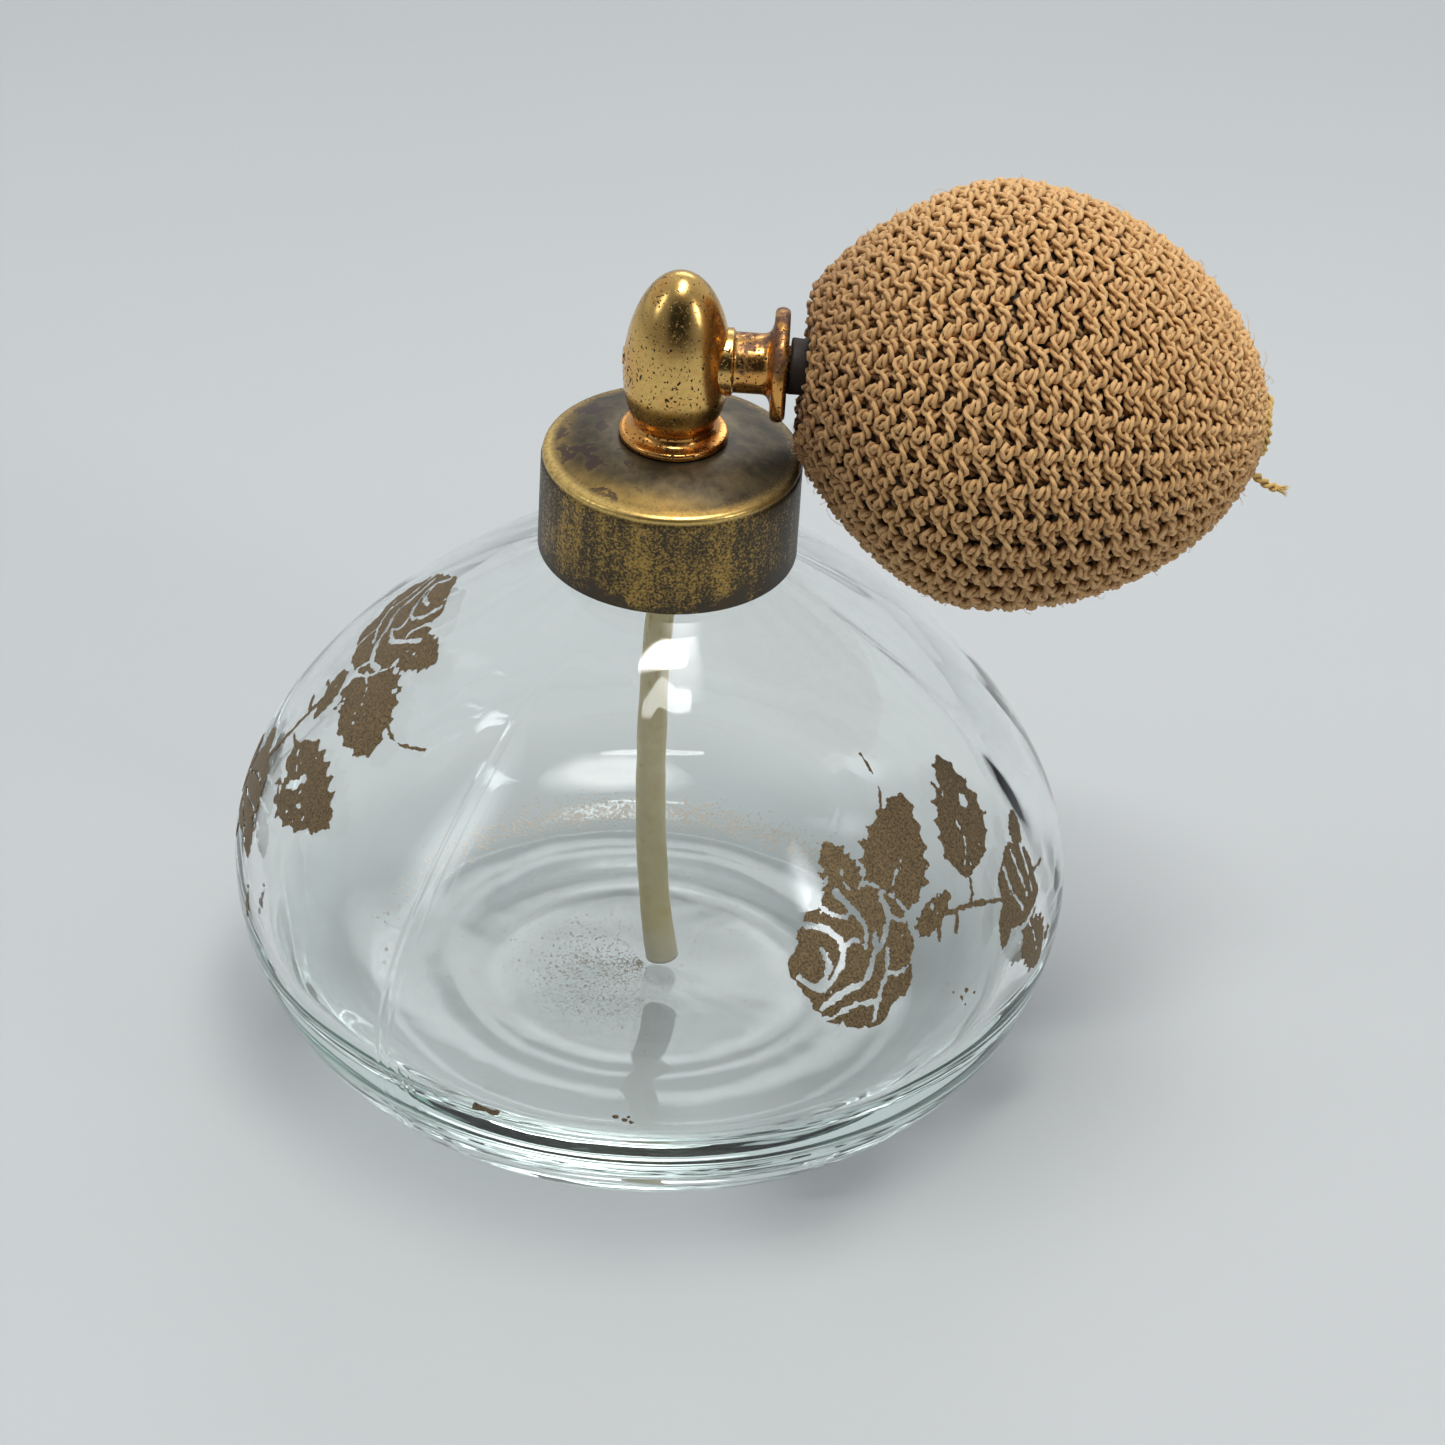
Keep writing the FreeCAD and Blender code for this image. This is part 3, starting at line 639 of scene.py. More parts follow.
def arc_of_z(z):
    keep = PR[:, 1] > 0.001
    return np.interp(z, PR[keep, 1], ARC[keep])


def on_glass(az, arc, lift):
    """Points on the outside at azimuth (radians) and arc length from the base edge, lifted by some mm."""
    r, z = np.interp(arc, ARC, PR[:, 0]), np.interp(arc, ARC, PR[:, 1])
    g = np.gradient(PR, axis=0)
    g /= np.linalg.norm(g, axis=1, keepdims=True)
    nr, nz = np.interp(arc, ARC, g[:, 1]), -np.interp(arc, ARC, g[:, 0])
    r2, z2 = outer_shape(r, z, az)
    r2, z2 = r2 + nr * lift, z2 + nz * lift
    return np.stack([r2 * np.cos(az), r2 * np.sin(az), z2], -1)


# --------------------------------------------------------- printed sprays
def sd_poly(p, poly):
    """Signed distance to a closed polygon, negative inside."""
    poly = np.asarray(poly, float)
    d = np.full(len(p), 1e9)
    inside = np.zeros(len(p), bool)
    for k in range(len(poly)):
        a, b = poly[k], poly[(k + 1) % len(poly)]
        e, w = b - a, p - a
        t = np.clip((w @ e) / (e @ e + 1e-12), 0, 1)
        d = np.minimum(d, np.linalg.norm(w - t[:, None] * e, axis=1))
        c = (a[1] > p[:, 1]) != (b[1] > p[:, 1])
        with np.errstate(divide="ignore", invalid="ignore"):
            xi = (b[0] - a[0]) * (p[:, 1] - a[1]) / (b[1] - a[1] + 1e-12) + a[0]
        inside ^= c & (p[:, 0] < xi)
    return np.where(inside, -d, d)


def sd_line(p, pts):
    d = np.full(len(p), 1e9)
    for a, b in zip(np.asarray(pts, float)[:-1], np.asarray(pts, float)[1:]):
        e, w = b - a, p - a
        t = np.clip((w @ e) / (e @ e + 1e-12), 0, 1)
        d = np.minimum(d, np.linalg.norm(w - t[:, None] * e, axis=1))
    return d


def curve2(pts, n=24):
    c = np.concatenate([np.asarray(pts, float), np.zeros((len(pts), 1))], 1)[None]
    return catmull(c, n)[0, :, :2]


def blob(cx, cy, rx, ry, tilt=0.0, lobes=0, depth=0.0, phase=0.0, n=60):
    t = np.linspace(0, 2 * np.pi, n, endpoint=False)
    k = 1 + depth * np.cos(lobes * t + phase) if lobes else 1.0
    x, y = rx * np.cos(t) * k, ry * np.sin(t) * k
    c, s = math.cos(tilt), math.sin(tilt)
    return np.stack([cx + c * x - s * y, cy + s * x + c * y], -1)


def leaf(base, tip, width, bend=0.0, n=22):
    """A pointed leaf with a toothed edge, from base to tip."""
    b, t = np.array(base, float), np.array(tip, float)
    d = t - b
    nrm = np.array([-d[1], d[0]]) / np.linalg.norm(d)
    u = np.linspace(0, 1, n)
    w = width * 0.5 * np.sin(np.pi * np.clip(u, 0, 1) ** 0.82) ** 0.85
    teeth = 0.10 * width * (np.arange(n) % 3 == 1) * (u > 0.1) * (u < 0.95)
    mid = b + d * u[:, None] + nrm * (bend * np.sin(np.pi * u))[:, None]
    return np.concatenate([mid + nrm * (w + teeth)[:, None], (mid - nrm * (w + teeth)[:, None])[::-1]])


def spray(p):
    """Coverage of one generic rose spray, as a signed distance in mm. Origin at the bloom's centre, x along, y up."""
    ink = np.full(len(p), 1e9)
    # bloom: an outer ring of petals round a full heart
    for a, d, s in ((95, 4.6, 2.9), (48, 4.7, 2.8), (5, 4.4, 3.0), (-42, 4.5, 2.9), (-88, 4.7, 3.1), (-132, 4.5, 2.8), (178, 4.7, 2.9), (136, 4.4, 2.8)):
        t = math.radians(a)
        ink = np.minimum(ink, sd_poly(p, blob(d * math.cos(t), d * math.sin(t), s, s * 0.86, t + 1.57, 5, 0.05, a)))
    ink = np.minimum(ink, sd_poly(p, blob(0, 0, 4.8, 4.6)))
    # bare outlines of overlapping petals round an off-centre heart
    gaps = [curve2([(-6.4, -0.6), (-4.6, -2.2), (-2.6, -1.2), (-1.2, 1.0), (-2.2, 3.2), (-4.4, 4.2)]),
            curve2([(-4.4, -1.9), (-3.2, -0.4), (-3.4, 1.6)], 12),
            curve2([(-4.6, -4.0), (-2.2, -3.0), (0.4, -2.6), (1.8, -0.6), (3.4, 0.6), (4.8, 2.8), (4.6, 5.0)]),
            curve2([(-0.4, 6.6), (0.8, 4.6), (1.8, 2.6), (1.3, 0.6)], 14),
            curve2([(-1.2, 1.0), (0.2, 1.6), (1.3, 0.6)], 10),
            curve2([(0.5, -6.8), (1.4, -4.8), (2.8, -2.6), (3.6, -0.4)], 14),
            curve2([(2.8, -2.6), (4.6, -3.0), (6.8, -2.4)], 12),
            curve2([(-6.0, -5.0), (-3.8, -5.2), (-1.4, -4.6), (1.2, -4.9)], 14),
            curve2([(-2.9, 7.0), (-2.0, 5.2), (-0.2, 4.0), (0.8, 4.6)], 12),
            curve2([(4.8, 2.8), (6.2, 1.6), (7.6, 1.8)], 10)]
    gap = np.full(len(p), 1e9)
    for k, g in enumerate(gaps):
        gap = np.minimum(gap, sd_line(p, g) - (0.30 if k < 4 else 0.20))
    # leaves, each with a vein left bare
    leaves = [((5.2, 2.4), (12.6, 12.8), 8.0, 0.7), ((16.2, 1.6), (21.0, 13.2), 7.8, -0.9), ((1.6, 5.6), (0.4, 11.8), 4.6, 0.5), ((7.4, -0.6), (13.6, 1.6), 2.6, 0.4)]
    for b, t, w, bend in leaves:
        ink = np.minimum(ink, sd_poly(p, leaf(b, t, w, bend)))
    for b, t, w, bend in leaves[:3]:
        b_, t_ = np.array(b), np.array(t)
        q = b_ + (t_ - b_) * 0.10
        e = b_ + (t_ - b_) * 0.45
        nrm = np.array([-(t_ - b_)[1], (t_ - b_)[0]]) / np.linalg.norm(t_ - b_)
        gap = np.minimum(gap, sd_line(p, curve2([q, (q + e) / 2 + nrm * bend * 0.8, e], 8)) - 0.05)
    gap = np.minimum(gap, sd_line(p, curve2([(3.6, 6.4), (5.6, 4.6), (7.2, 2.0), (7.6, -0.6)], 12)) - 0.16)
    # bud with its sepals, and the stems
    ink = np.minimum(ink, sd_poly(p, blob(24.2, -3.6, 4.0, 4.3, -0.5, 6, 0.05, 1.0)))
    ink = np.minimum(ink, sd_poly(p, leaf((23.4, -7.4), (25.4, -13.2), 5.2, 0.4)))
    ink = np.minimum(ink, sd_poly(p, leaf((26.4, -1.0), (29.2, 2.4), 2.6, 0.3)))
    ink = np.minimum(ink, sd_poly(p, leaf((21.0, -3.2), (18.4, -7.2), 2.2, 0.2)))
    for g, wid in ((curve2([(22.6, -0.6), (22.6, -3.0), (23.6, -5.6)], 10), 0.15), (curve2([(25.0, 0.2), (25.0, -2.4), (25.2, -5.0)], 10), 0.17),
                   (curve2([(27.2, -0.6), (26.8, -2.8), (26.4, -5.2)], 10), 0.14), (curve2([(20.8, -6.4), (23.2, -7.2), (27.2, -6.6)], 10), 0.20),
                   (curve2([(24.2, -7.4), (24.8, -9.2), (25.0, -11.0)], 8), 0.10)):
        gap = np.minimum(gap, sd_line(p, g) - wid)
    stems = [(curve2([(7.6, 0.4), (12.0, 0.0), (16.6, -1.2), (20.8, -3.0)], 14), 0.26), (curve2([(15.6, -0.8), (16.4, 0.6), (16.8, 2.4)], 10), 0.20),
             (curve2([(8.4, 8.6), (8.2, 11.4), (9.8, 14.6), (9.4, 18.2)], 14), 0.15), (curve2([(13.4, -0.4), (12.4, -2.2)], 4), 0.24),
             (curve2([(28.0, -4.0), (30.4, -4.4)], 4), 0.18), (curve2([(10.6, 0.2), (10.0, -1.8)], 4), 0.30)]
    ink = np.maximum(ink, -gap)
    for g, wid in stems:
        ink = np.minimum(ink, sd_line(p, g) - wid)
    return ink


def print_spray(name, az0, z0, turn, mirror, wear, seed, cell=0.13, reach=((-9.5, 31.5), (-14.5, 19.5))):
    """The ink as a thin plate of small cells that follows the glass, with worn edges and pinholes."""
    xs, ys = np.arange(*reach[0], cell), np.arange(*reach[1], cell)
    gx, gy = np.meshgrid(xs, ys, indexing="ij")
    p = np.stack([gx.ravel(), gy.ravel()], -1)
    rough = (fnoise(np.c_[p / 0.55, np.full(len(p), seed)], 3, seed) - 0.5) * 0.55
    sd = spray(p) + rough
    worn = fnoise(np.c_[p / 2.6, np.full(len(p), seed + 5)], 4, seed + 9)
    pin = vnoise(np.c_[p / 0.30, np.full(len(p), seed)], seed + 77)
    sd = np.maximum(sd, (worn - (1 - wear)) * 6.0)
    sd = np.where(pin > 0.955, 1.0, sd)
    nx, ny = len(xs), len(ys)
    i, j = np.meshgrid(np.arange(nx - 1), np.arange(ny - 1), indexing="ij")
    q = np.stack([i * ny + j, (i + 1) * ny + j, (i + 1) * ny + j + 1, i * ny + j + 1], -1).reshape(-1, 4)
    on = (sd[q] < 0).sum(1) >= 3
    q = q[on]
    used, inv = np.unique(q, return_inverse=True)
    q = inv.reshape(q.shape)
    pp, ss = p[used], sd[used]
    c, s = math.cos(turn), math.sin(turn)
    mx = -pp[:, 0] if mirror else pp[:, 0]
    u, v = c * mx - s * pp[:, 1], s * mx + c * pp[:, 1]
    arc0 = arc_of_z(z0)
    arc = arc0 + v
    rad = np.interp(arc, ARC, PR[:, 0])
    az = math.radians(az0) + u / (0.5 * rad + 0.5 * np.interp(arc0, ARC, PR[:, 0]))
    grain = vnoise(np.c_[pp / 0.22, np.full(len(pp), 3.3)], seed + 3) * 0.018
    top = on_glass(az, arc, 0.055 + grain)
    low = on_glass(az, arc, 0.012)
    n = len(top)
    flip = mirror
    topf = q[:, ::-1] if flip else q
    lowf = (q if flip else q[:, ::-1]) + n
    edges = np.concatenate([topf[:, [k, (k + 1) % 4]] for k in range(4)])
    key = {}
    for a, b in edges.tolist():
        key[(a, b)] = True
    rim = np.array([(a, b) for a, b in key if (b, a) not in key])
    walls = np.stack([rim[:, 1], rim[:, 0], rim[:, 0] + n, rim[:, 1] + n], -1)
    return build(name, np.concatenate([top, low]), [topf, lowf, walls], M_DECAL, "bottle", smooth=False)


print_spray("spray_right", -57.0, 32.8, math.radians(0.0), False, 0.22, 3)
print_spray("spray_left", 178.0, 46.5, math.radians(-72.0), False, 0.24, 8)


def flakes(name, centres, sizes, place, mat, seed, thick=0.05):
    """Small irregular closed flakes. place maps (u, v, lift) to points."""
    rg = np.random.default_rng(seed)
    vs, tops, sides = [], [], []
    k = 0
    m = 7
    for (u, v), s in zip(centres, sizes):
        t = np.linspace(0, 2 * np.pi, m, endpoint=False) + rg.uniform(0, 6)
        rad = s * rg.uniform(0.45, 1.25, m)
        a, b = u + rad * np.cos(t) * rg.uniform(0.6, 1.3), v + rad * np.sin(t)
        vs += [place(a, b, thick), place(a, b, 0.006)]
        c = np.arange(m)
        tops += [k + c, (k + m + c)[::-1]]
        sides.append(np.stack([k + c, k + m + c, k + m + (c + 1) % m, k + (c + 1) % m], -1))
        k += 2 * m
    return build(name, np.concatenate(vs), [np.array(tops), np.concatenate(sides)], mat, "bottle", smooth=False)


def glass_place(az0, z0):
    arc0 = float(arc_of_z(z0))
    r0 = float(np.interp(arc0, ARC, PR[:, 0]))

    def place(u, v, lift):
        return on_glass(math.radians(az0) + u / r0, arc0 + v, lift)
    return place


flakes("print_specks_front", [(-0.9, 0.0), (0.5, -0.2), (1.1, 0.1), (13.0, 2.2), (13.8, 1.9), (14.5, 1.6), (14.2, 2.3)], [0.75, 0.5, 0.3, 0.3, 0.35, 0.25, 0.18],
       glass_place(-109, 17.2), M_DECAL, 4)
flakes("print_specks_right", [(0, 0), (0.9, 0.4), (1.9, -0.4), (0.4, -1.0), (17.0, -2.6), (17.8, -2.2), (-1.0, 1.0)], [0.4, 0.3, 0.25, 0.18, 0.6, 0.4, 0.15],
       glass_place(-41, 25.0), M_DECAL, 5)
flakes("print_specks_left", [(0, 0), (0.1, 1.1), (0.2, -1.0), (-0.3, 2.0)], [0.65, 0.55, 0.5, 0.3], glass_place(-160, 21.0), M_DECAL, 6)


# ------------------------------------------------- deposits inside the bottle
inner_curve = INN[::-1]
IN_ARC = np.concatenate([[0], np.cumsum(np.linalg.norm(np.diff(inner_curve, axis=0), axis=1))])


def on_inner(az, arc, lift):
    r, z = np.interp(arc, IN_ARC, inner_curve[:, 0]), np.interp(arc, IN_ARC, inner_curve[:, 1])
    g = np.gradient(inner_curve, axis=0)
    g /= np.linalg.norm(g, axis=1, keepdims=True)
    nr, nz = -np.interp(arc, IN_ARC, g[:, 1]), np.interp(arc, IN_ARC, g[:, 0])
    r2, z2 = inner_shape(r, z, az)
    r2, z2 = r2 + nr * (lift + 0.02), z2 + nz * (lift + 0.02)
    return np.stack([r2 * np.cos(az), r2 * np.sin(az), z2], -1)


def residue(name, n, seed, az_fn, arc_fn, size, mat, thick=0.03):
    rg = np.random.default_rng(seed)
    az, arc = az_fn(rg, n), arc_fn(rg, n)
    m = 5
    t = np.linspace(0, 2 * np.pi, m, endpoint=False)[None] + rg.uniform(0, 6, (n, 1))
    rad = (size * rg.uniform(0.35, 1.3, (n, 1)) ** 1.5) * rg.uniform(0.6, 1.2, (n, m))
    r_loc = np.maximum(np.interp(arc, IN_ARC, inner_curve[:, 0]), 0.6)[:, None]
    a = az[:, None] + rad * np.cos(t) / r_loc
    b = np.abs(arc[:, None] + rad * np.sin(t))
    top = on_inner(a.ravel(), b.ravel(), thick).reshape(n, m, 3)
    low = on_inner(a.ravel(), b.ravel(), 0.002).reshape(n, m, 3)
    v = np.concatenate([top, low], 1).reshape(-1, 3)
    base = (np.arange(n) * 2 * m)[:, None]
    c = np.arange(m)[None]
    tops = np.concatenate([base + c, (base + m + c)[:, ::-1]])
    sides = np.stack([base + c, base + m + c, base + m + (c + 1) % m, base + (c + 1) % m], -1).reshape(-1, 4)
    return build(name, v, [tops, sides], mat, "bottle", smooth=False)


residue("residue_ring", 2600, 12, lambda g, n: np.radians(g.normal(92, 34, n)), lambda g, n: np.abs(g.normal(27.6, 1.1, n)) + 0.4 * g.random(n), 0.16, M_WHITE)
residue("residue_floor", 900, 13, lambda g, n: g.uniform(-np.pi, np.pi, n), lambda g, n: np.sqrt(g.random(n)) * 30.0, 0.09, M_WHITE)
residue("stain_floor", 1300, 14, lambda g, n: np.radians(g.normal(197, 38, n)), lambda g, n: np.abs(g.normal(6.0, 3.6, n)), 0.075, M_BROWN)


# ===================================================================== collar
def turn_shape(r, z, th):
    """Slight out-of-round and knocks."""
    shp = r.shape
    p = np.stack([np.cos(th) * 1.5, np.sin(th) * 1.5, z / 6.0], -1).reshape(-1, 3)
    return r + (fnoise(p, 2, 60).reshape(shp) - 0.5) * 0.07 * (r > 9), z + (fnoise(p * 1.4, 2, 61).reshape(shp) - 0.5) * 0.06 * (r > 5) * (z > 68)


th256 = np.linspace(-math.pi, math.pi, 256, endpoint=False)
collar_prof = chain((12.6, 58.4),
                    seg((12.6, 58.4), (12.95, 58.4), 2),
                    bez((12.95, 58.4), (13.0, 58.42), (13.0, 58.46), (13.0, 58.55), 3),
                    seg((13.0, 58.55), (13.0, 68.20), 22),
                    bez((13.0, 68.20), (12.98, 68.45), (12.82, 68.55), (12.86, 68.72), 5),
                    bez((12.86, 68.72), (12.90, 69.12), (12.66, 69.36), (12.25, 69.42), 8),
                    bez((12.25, 69.42), (10.6, 69.75), (8.0, 71.1), (5.8, 71.1), 26),
                    seg((5.8, 71.1), (3.48, 71.1), 4),
                    seg((3.48, 71.1), (3.48, 70.7), 2),
                    seg((3.48, 70.7), (5.8, 70.7), 3),
                    bez((5.8, 70.7), (8.0, 70.7), (10.5, 69.35), (12.15, 69.0), 14),
                    bez((12.15, 69.0), (12.45, 68.95), (12.5, 68.85), (12.6, 68.55), 4),
                    seg((12.6, 68.55), (12.6, 58.4), 10))[:-1]
v, f = lathe(collar_prof, th256, turn_shape)
collar = build("collar_shell_worn", v, f, M_COLLAR, "collar")
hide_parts("collar_shell")

# ======================================================================= head
head_prof = chain((0.0, 66.8),
                  seg((0, 66.8), (3.4, 66.8), 4), seg((3.4, 66.8), (3.4, 71.2), 6), seg((3.4, 71.2), (5.2, 71.2), 4),
                  bez((5.2, 71.2), (5.5, 71.28), (5.5, 71.9), (5.2, 71.98), 12),
                  bez((5.2, 71.98), (4.75, 72.05), (4.3, 72.15), (4.1, 72.55), 10),
                  bez((4.1, 72.55), (3.92, 72.95), (4.0, 73.2), (4.2, 73.5), 8),
                  bez((4.2, 73.5), (4.95, 74.85), (5.3, 76.7), (5.3, 78.9), 26),
                  bez((5.3, 78.9), (5.3, 84.675), (2.915, 89.4), (0, 89.4), 56))


def egg_shape(r, z, th):
    shp = r.shape
    p = np.stack([np.cos(th) * 1.2, np.sin(th) * 1.2, z / 5.0], -1).reshape(-1, 3)
    return r * (1 + (fnoise(p, 2, 70).reshape(shp) - 0.5) * 0.010), z


v, f = lathe(head_prof, np.linspace(-math.pi, math.pi, 192, endpoint=False), egg_shape)
egg = build("head_gilt", v, f, M_GILT, "head")
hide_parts("head_body")

port_prof = chain((0.0, 3.2),
                  seg((0, 3.2), (3.35, 3.2), 2), seg((3.35, 3.2), (3.35, 5.22), 6),
                  bez((3.35, 5.22), (3.40, 5.50), (3.15, 5.42), (3.0, 5.62), 6),
                  seg((3.0, 5.62), (3.0, 8.3), 8),
                  bez((3.0, 8.3), (3.0, 8.85), (3.4, 9.15), (4.1, 9.25), 9),
                  seg((4.1, 9.25), (5.15, 9.3), 4),
                  bez((5.15, 9.3), (5.5, 9.35), (5.65, 9.7), (5.65, 10.05), 8),
                  bez((5.65, 10.05), (5.65, 10.45), (5.45, 10.8), (5.05, 10.8), 8),
                  seg((5.05, 10.8), (1.95, 10.8), 5),
                  seg((1.95, 10.8), (1.95, 12.6), 3), seg((1.95, 12.6), (2.2, 12.6), 2), seg((2.2, 12.6), (2.0, 14.4), 4),
                  seg((2.0, 14.4), (2.2, 14.4), 2), seg((2.2, 14.4), (1.85, 16.4), 4), seg((1.85, 16.4), (1.3, 16.4), 1),
                  seg((1.3, 16.4), (1.3, 11.2), 4), seg((1.3, 11.2), (0, 11.2), 2))
v, f = lathe(port_prof, np.linspace(-math.pi, math.pi, 128, endpoint=False))
v = np.stack([v[:, 2], v[:, 1], 79.85 - v[:, 0]], -1)          # turned so that the axis lies along +X
port = build("bulb_port_gilt", v, f, M_GILT, "head")
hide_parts("bulb_port")

tip_prof = chain((0.0, -4.2), seg((0, -4.2), (0.88, -4.2), 3), seg((0.88, -4.2), (0.9, -5.26), 5),
                 bez((0.9, -5.26), (0.9, -5.34), (0.84, -5.37), (0.76, -5.37), 4), seg((0.76, -5.37), (0.42, -5.36), 3),
                 bez((0.42, -5.36), (0.34, -5.35), (0.30, -5.30), (0.30, -5.2), 4), seg((0.30, -5.2), (0.28, -4.5), 3), seg((0.28, -4.5), (0, -4.5), 1))
v, f = lathe(tip_prof, np.linspace(-math.pi, math.pi, 48, endpoint=False))
v = np.stack([v[:, 2], v[:, 1], 79.85 + v[:, 0]], -1)
tipo = build("nozzle_tip_gilt", v, f, M_GILT, "head")
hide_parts("nozzle_insert")

# ================================================================== dip tube
DIP = np.array([(0.0, 0.0, 64.6), (0.0, 0.0, 57.0), (-0.45, 0.1, 46.0), (-0.5, 0.1, 34.0), (-0.05, 0.0, 23.0), (0.9, -0.1, 13.5), (1.9, -0.15, 6.9)])
ctr = catmull(DIP[None], 110)
lumps = (fnoise(np.c_[ctr[0] / 4.0], 2, 90) - 0.5) * 0.16
vo, fo, ao, lo_ = tubes(ctr, (1.72 + lumps)[None], 40)
vi, fi, ai, li_ = tubes(ctr, 1.18, 24)
# outside and bore as one closed shell, ends joined
m_, so, si = ctr.shape[1], 40, 24
ringo = vo.reshape(m_, so, 3)
ang_o = np.linspace(0, 2 * np.pi, so, endpoint=False)
t_, s_, u_ = frames_along(ctr)
bore = ctr[0][:, None] + 1.18 * (np.cos(ang_o)[None, :, None] * s_[0][:, None] + np.sin(ang_o)[None, :, None] * u_[0][:, None])
grid = np.concatenate([ringo, bore[::-1]]).reshape(-1, 3)
tube = build("dip_tube_aged", grid, lathe_faces(2 * m_, so, False, False, True), M_TUBE, "head")
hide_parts("dip_tube")

# ====================================================================== bulb
DEL = math.radians(3.5)
AX = np.array([math.cos(DEL), 0, -math.sin(DEL)])
UP = np.array([math.sin(DEL), 0, math.cos(DEL)])
FR = np.array([0, -1.0, 0])
B0 = np.array([10.9, 0, 79.85])
SM = 20.2


def quad_curve(rm, reach, power, n=80):
    k = (8 * 0.5 ** (1 / power) - 4) / 3
    return np.concatenate([[(0.0, SM + reach)], bez((0.0, SM + reach), (k * rm, SM + reach), (rm, SM + k * reach), (rm, SM), n)])


def to_world(r, s, phi):
    """Bulb frame to the row frame: phi 0 is up, 90 degrees is the front."""
    r, s, phi = np.broadcast_arrays(r, s, phi)
    sag = 0.55 * np.clip((s - 3.0) / 10.0, 0, 1) ** 2 * (3 - 2 * np.clip((s - 3.0) / 10.0, 0, 1))
    return B0 - sag[..., None] * np.array([0, 0, 1.0]) + s[..., None] * AX + (r * np.cos(phi))[..., None] * UP + (r * np.sin(phi))[..., None] * FR


# rubber, seen at the neck and through the knit
rneck = quad_curve(19.5, -20.6, 1.61, 60)
rtail = quad_curve(19.5, 25.3, 1.87, 60)
rneck = rneck[rneck[:, 1] > 1.9]
rtail = rtail[rtail[:, 0] > 2.6]
rub_prof = np.concatenate([[(2.35, 0.05), (2.75, 0.07), (2.80, 0.3), (2.75, 1.35), (2.85, 1.62), (3.1, 1.78), (3.4, 1.83)], rneck, rtail[::-1][1:],
                           [(1.95, rtail[0, 1]), (1.95, rtail[0, 1] - 1.5), (1.9, 6.0), (2.25, 5.4), (2.25, 0.1)]])
thr = np.linspace(0, 2 * np.pi, 120, endpoint=False)
pr, ps = rub_prof[:, :1] + 0 * thr, rub_prof[:, 1:] + 0 * thr
bumps = (fnoise(np.stack([pr * np.cos(thr) / 5, pr * np.sin(thr) / 5, ps / 5], -1).reshape(-1, 3), 3, 101).reshape(pr.shape) - 0.5) * 0.3 * (pr > 4)
rv = to_world(pr + bumps, ps, thr + 0 * pr).reshape(-1, 3)
rf = lathe_faces(len(rub_prof), len(thr), False, False, True)
rubber = build("rubber_bulb_skin", rv, [rf[0][:, ::-1]], M_RUB, None)
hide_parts("rubber_bulb")

# the cover's outline, and the surface that the yarn's middle lies on
cn = quad_curve(21.3, -21.9, 1.61, 160)
ct_ = quad_curve(21.3, 27.25, 1.87, 160)
cn = cn[cn[:, 1] >= 1.15]
ct_ = ct_[ct_[:, 0] >= 2.7]
outl = np.concatenate([cn, ct_[::-1][1:]])
d = np.gradient(outl, axis=0)
d /= np.linalg.norm(d, axis=1, keepdims=True)
nrm = np.stack([d[:, 1], -d[:, 0]], -1)               # outward in (r, s)
mid = outl - nrm * 1.10
mid = mid[mid[:, 0] > 1.2]
# the neck end rolls in towards the rubber lip
first = mid[0]
mid = np.concatenate([[(first[0] - 1.9, first[1] + 1.35), (first[0] - 1.1, first[1] + 0.45), (first[0] - 0.45, first[1] + 0.02)], mid])
mid = mid[(mid[:, 0] > 2.0)]
MA = np.concatenate([[0], np.cumsum(np.linalg.norm(np.diff(mid, axis=0), axis=1))])
u_even = np.linspace(0, MA[-1], 400)
mr, ms = np.interp(u_even, MA, mid[:, 0]), np.interp(u_even, MA, mid[:, 1])
for _ in range(3):
    mr[1:-1] = (mr[:-2] + mr[1:-1] + mr[2:]) / 3
    ms[1:-1] = (ms[:-2] + ms[1:-1] + ms[2:]) / 3
dm = np.gradient(np.stack([mr, ms], -1), axis=0)
dm /= np.linalg.norm(dm, axis=1, keepdims=True)
mnr, mns = dm[:, 1], -dm[:, 0]
LTOT = float(MA[-1])


def knit_place(u, phi, h):
    uc = np.clip(u, 0, LTOT)
    over = u - uc
    r = np.interp(uc, u_even, mr) + np.interp(uc, u_even, mnr) * h
    s = np.interp(uc, u_even, ms) + np.interp(uc, u_even, mns) * h + over * 0.3
    return to_world(np.maximum(r, 0.4), s, phi)


ROWS, COLS = 34, 28
PU = LTOT / COLS
PV = 2 * math.pi * 20.2 / ROWS
STRANDS = {
    "knob": ([(0.45, 0.5, -0.45), (0.1, -0.25, 0.40), (-0.4, 0.2, 0.50), (-0.45, 0.9, 0.38), (-0.2, 1.6, 0.22), (0.1, 2.2, -0.12), (0.3, 2.8, -0.50)], 11),
    "crescent": ([(1.1, 1.3, -0.50), (0.75, 1.35, -0.10), (0.35, 1.45, 0.30), (0.55, 2.2, 0.55), (0.6, 2.9, 0.60), (0.25, 3.8, 0.55), (-0.4, 4.45, 0.32), (-1.0, 4.55, -0.12), (-1.3, 4.2, -0.50)], 15),
    "base": ([(0.8, 1.9, -0.50), (1.15, 2.5, -0.42), (1.7, 3.3, -0.52)], 5),
}
rg = np.random.default_rng(2024)


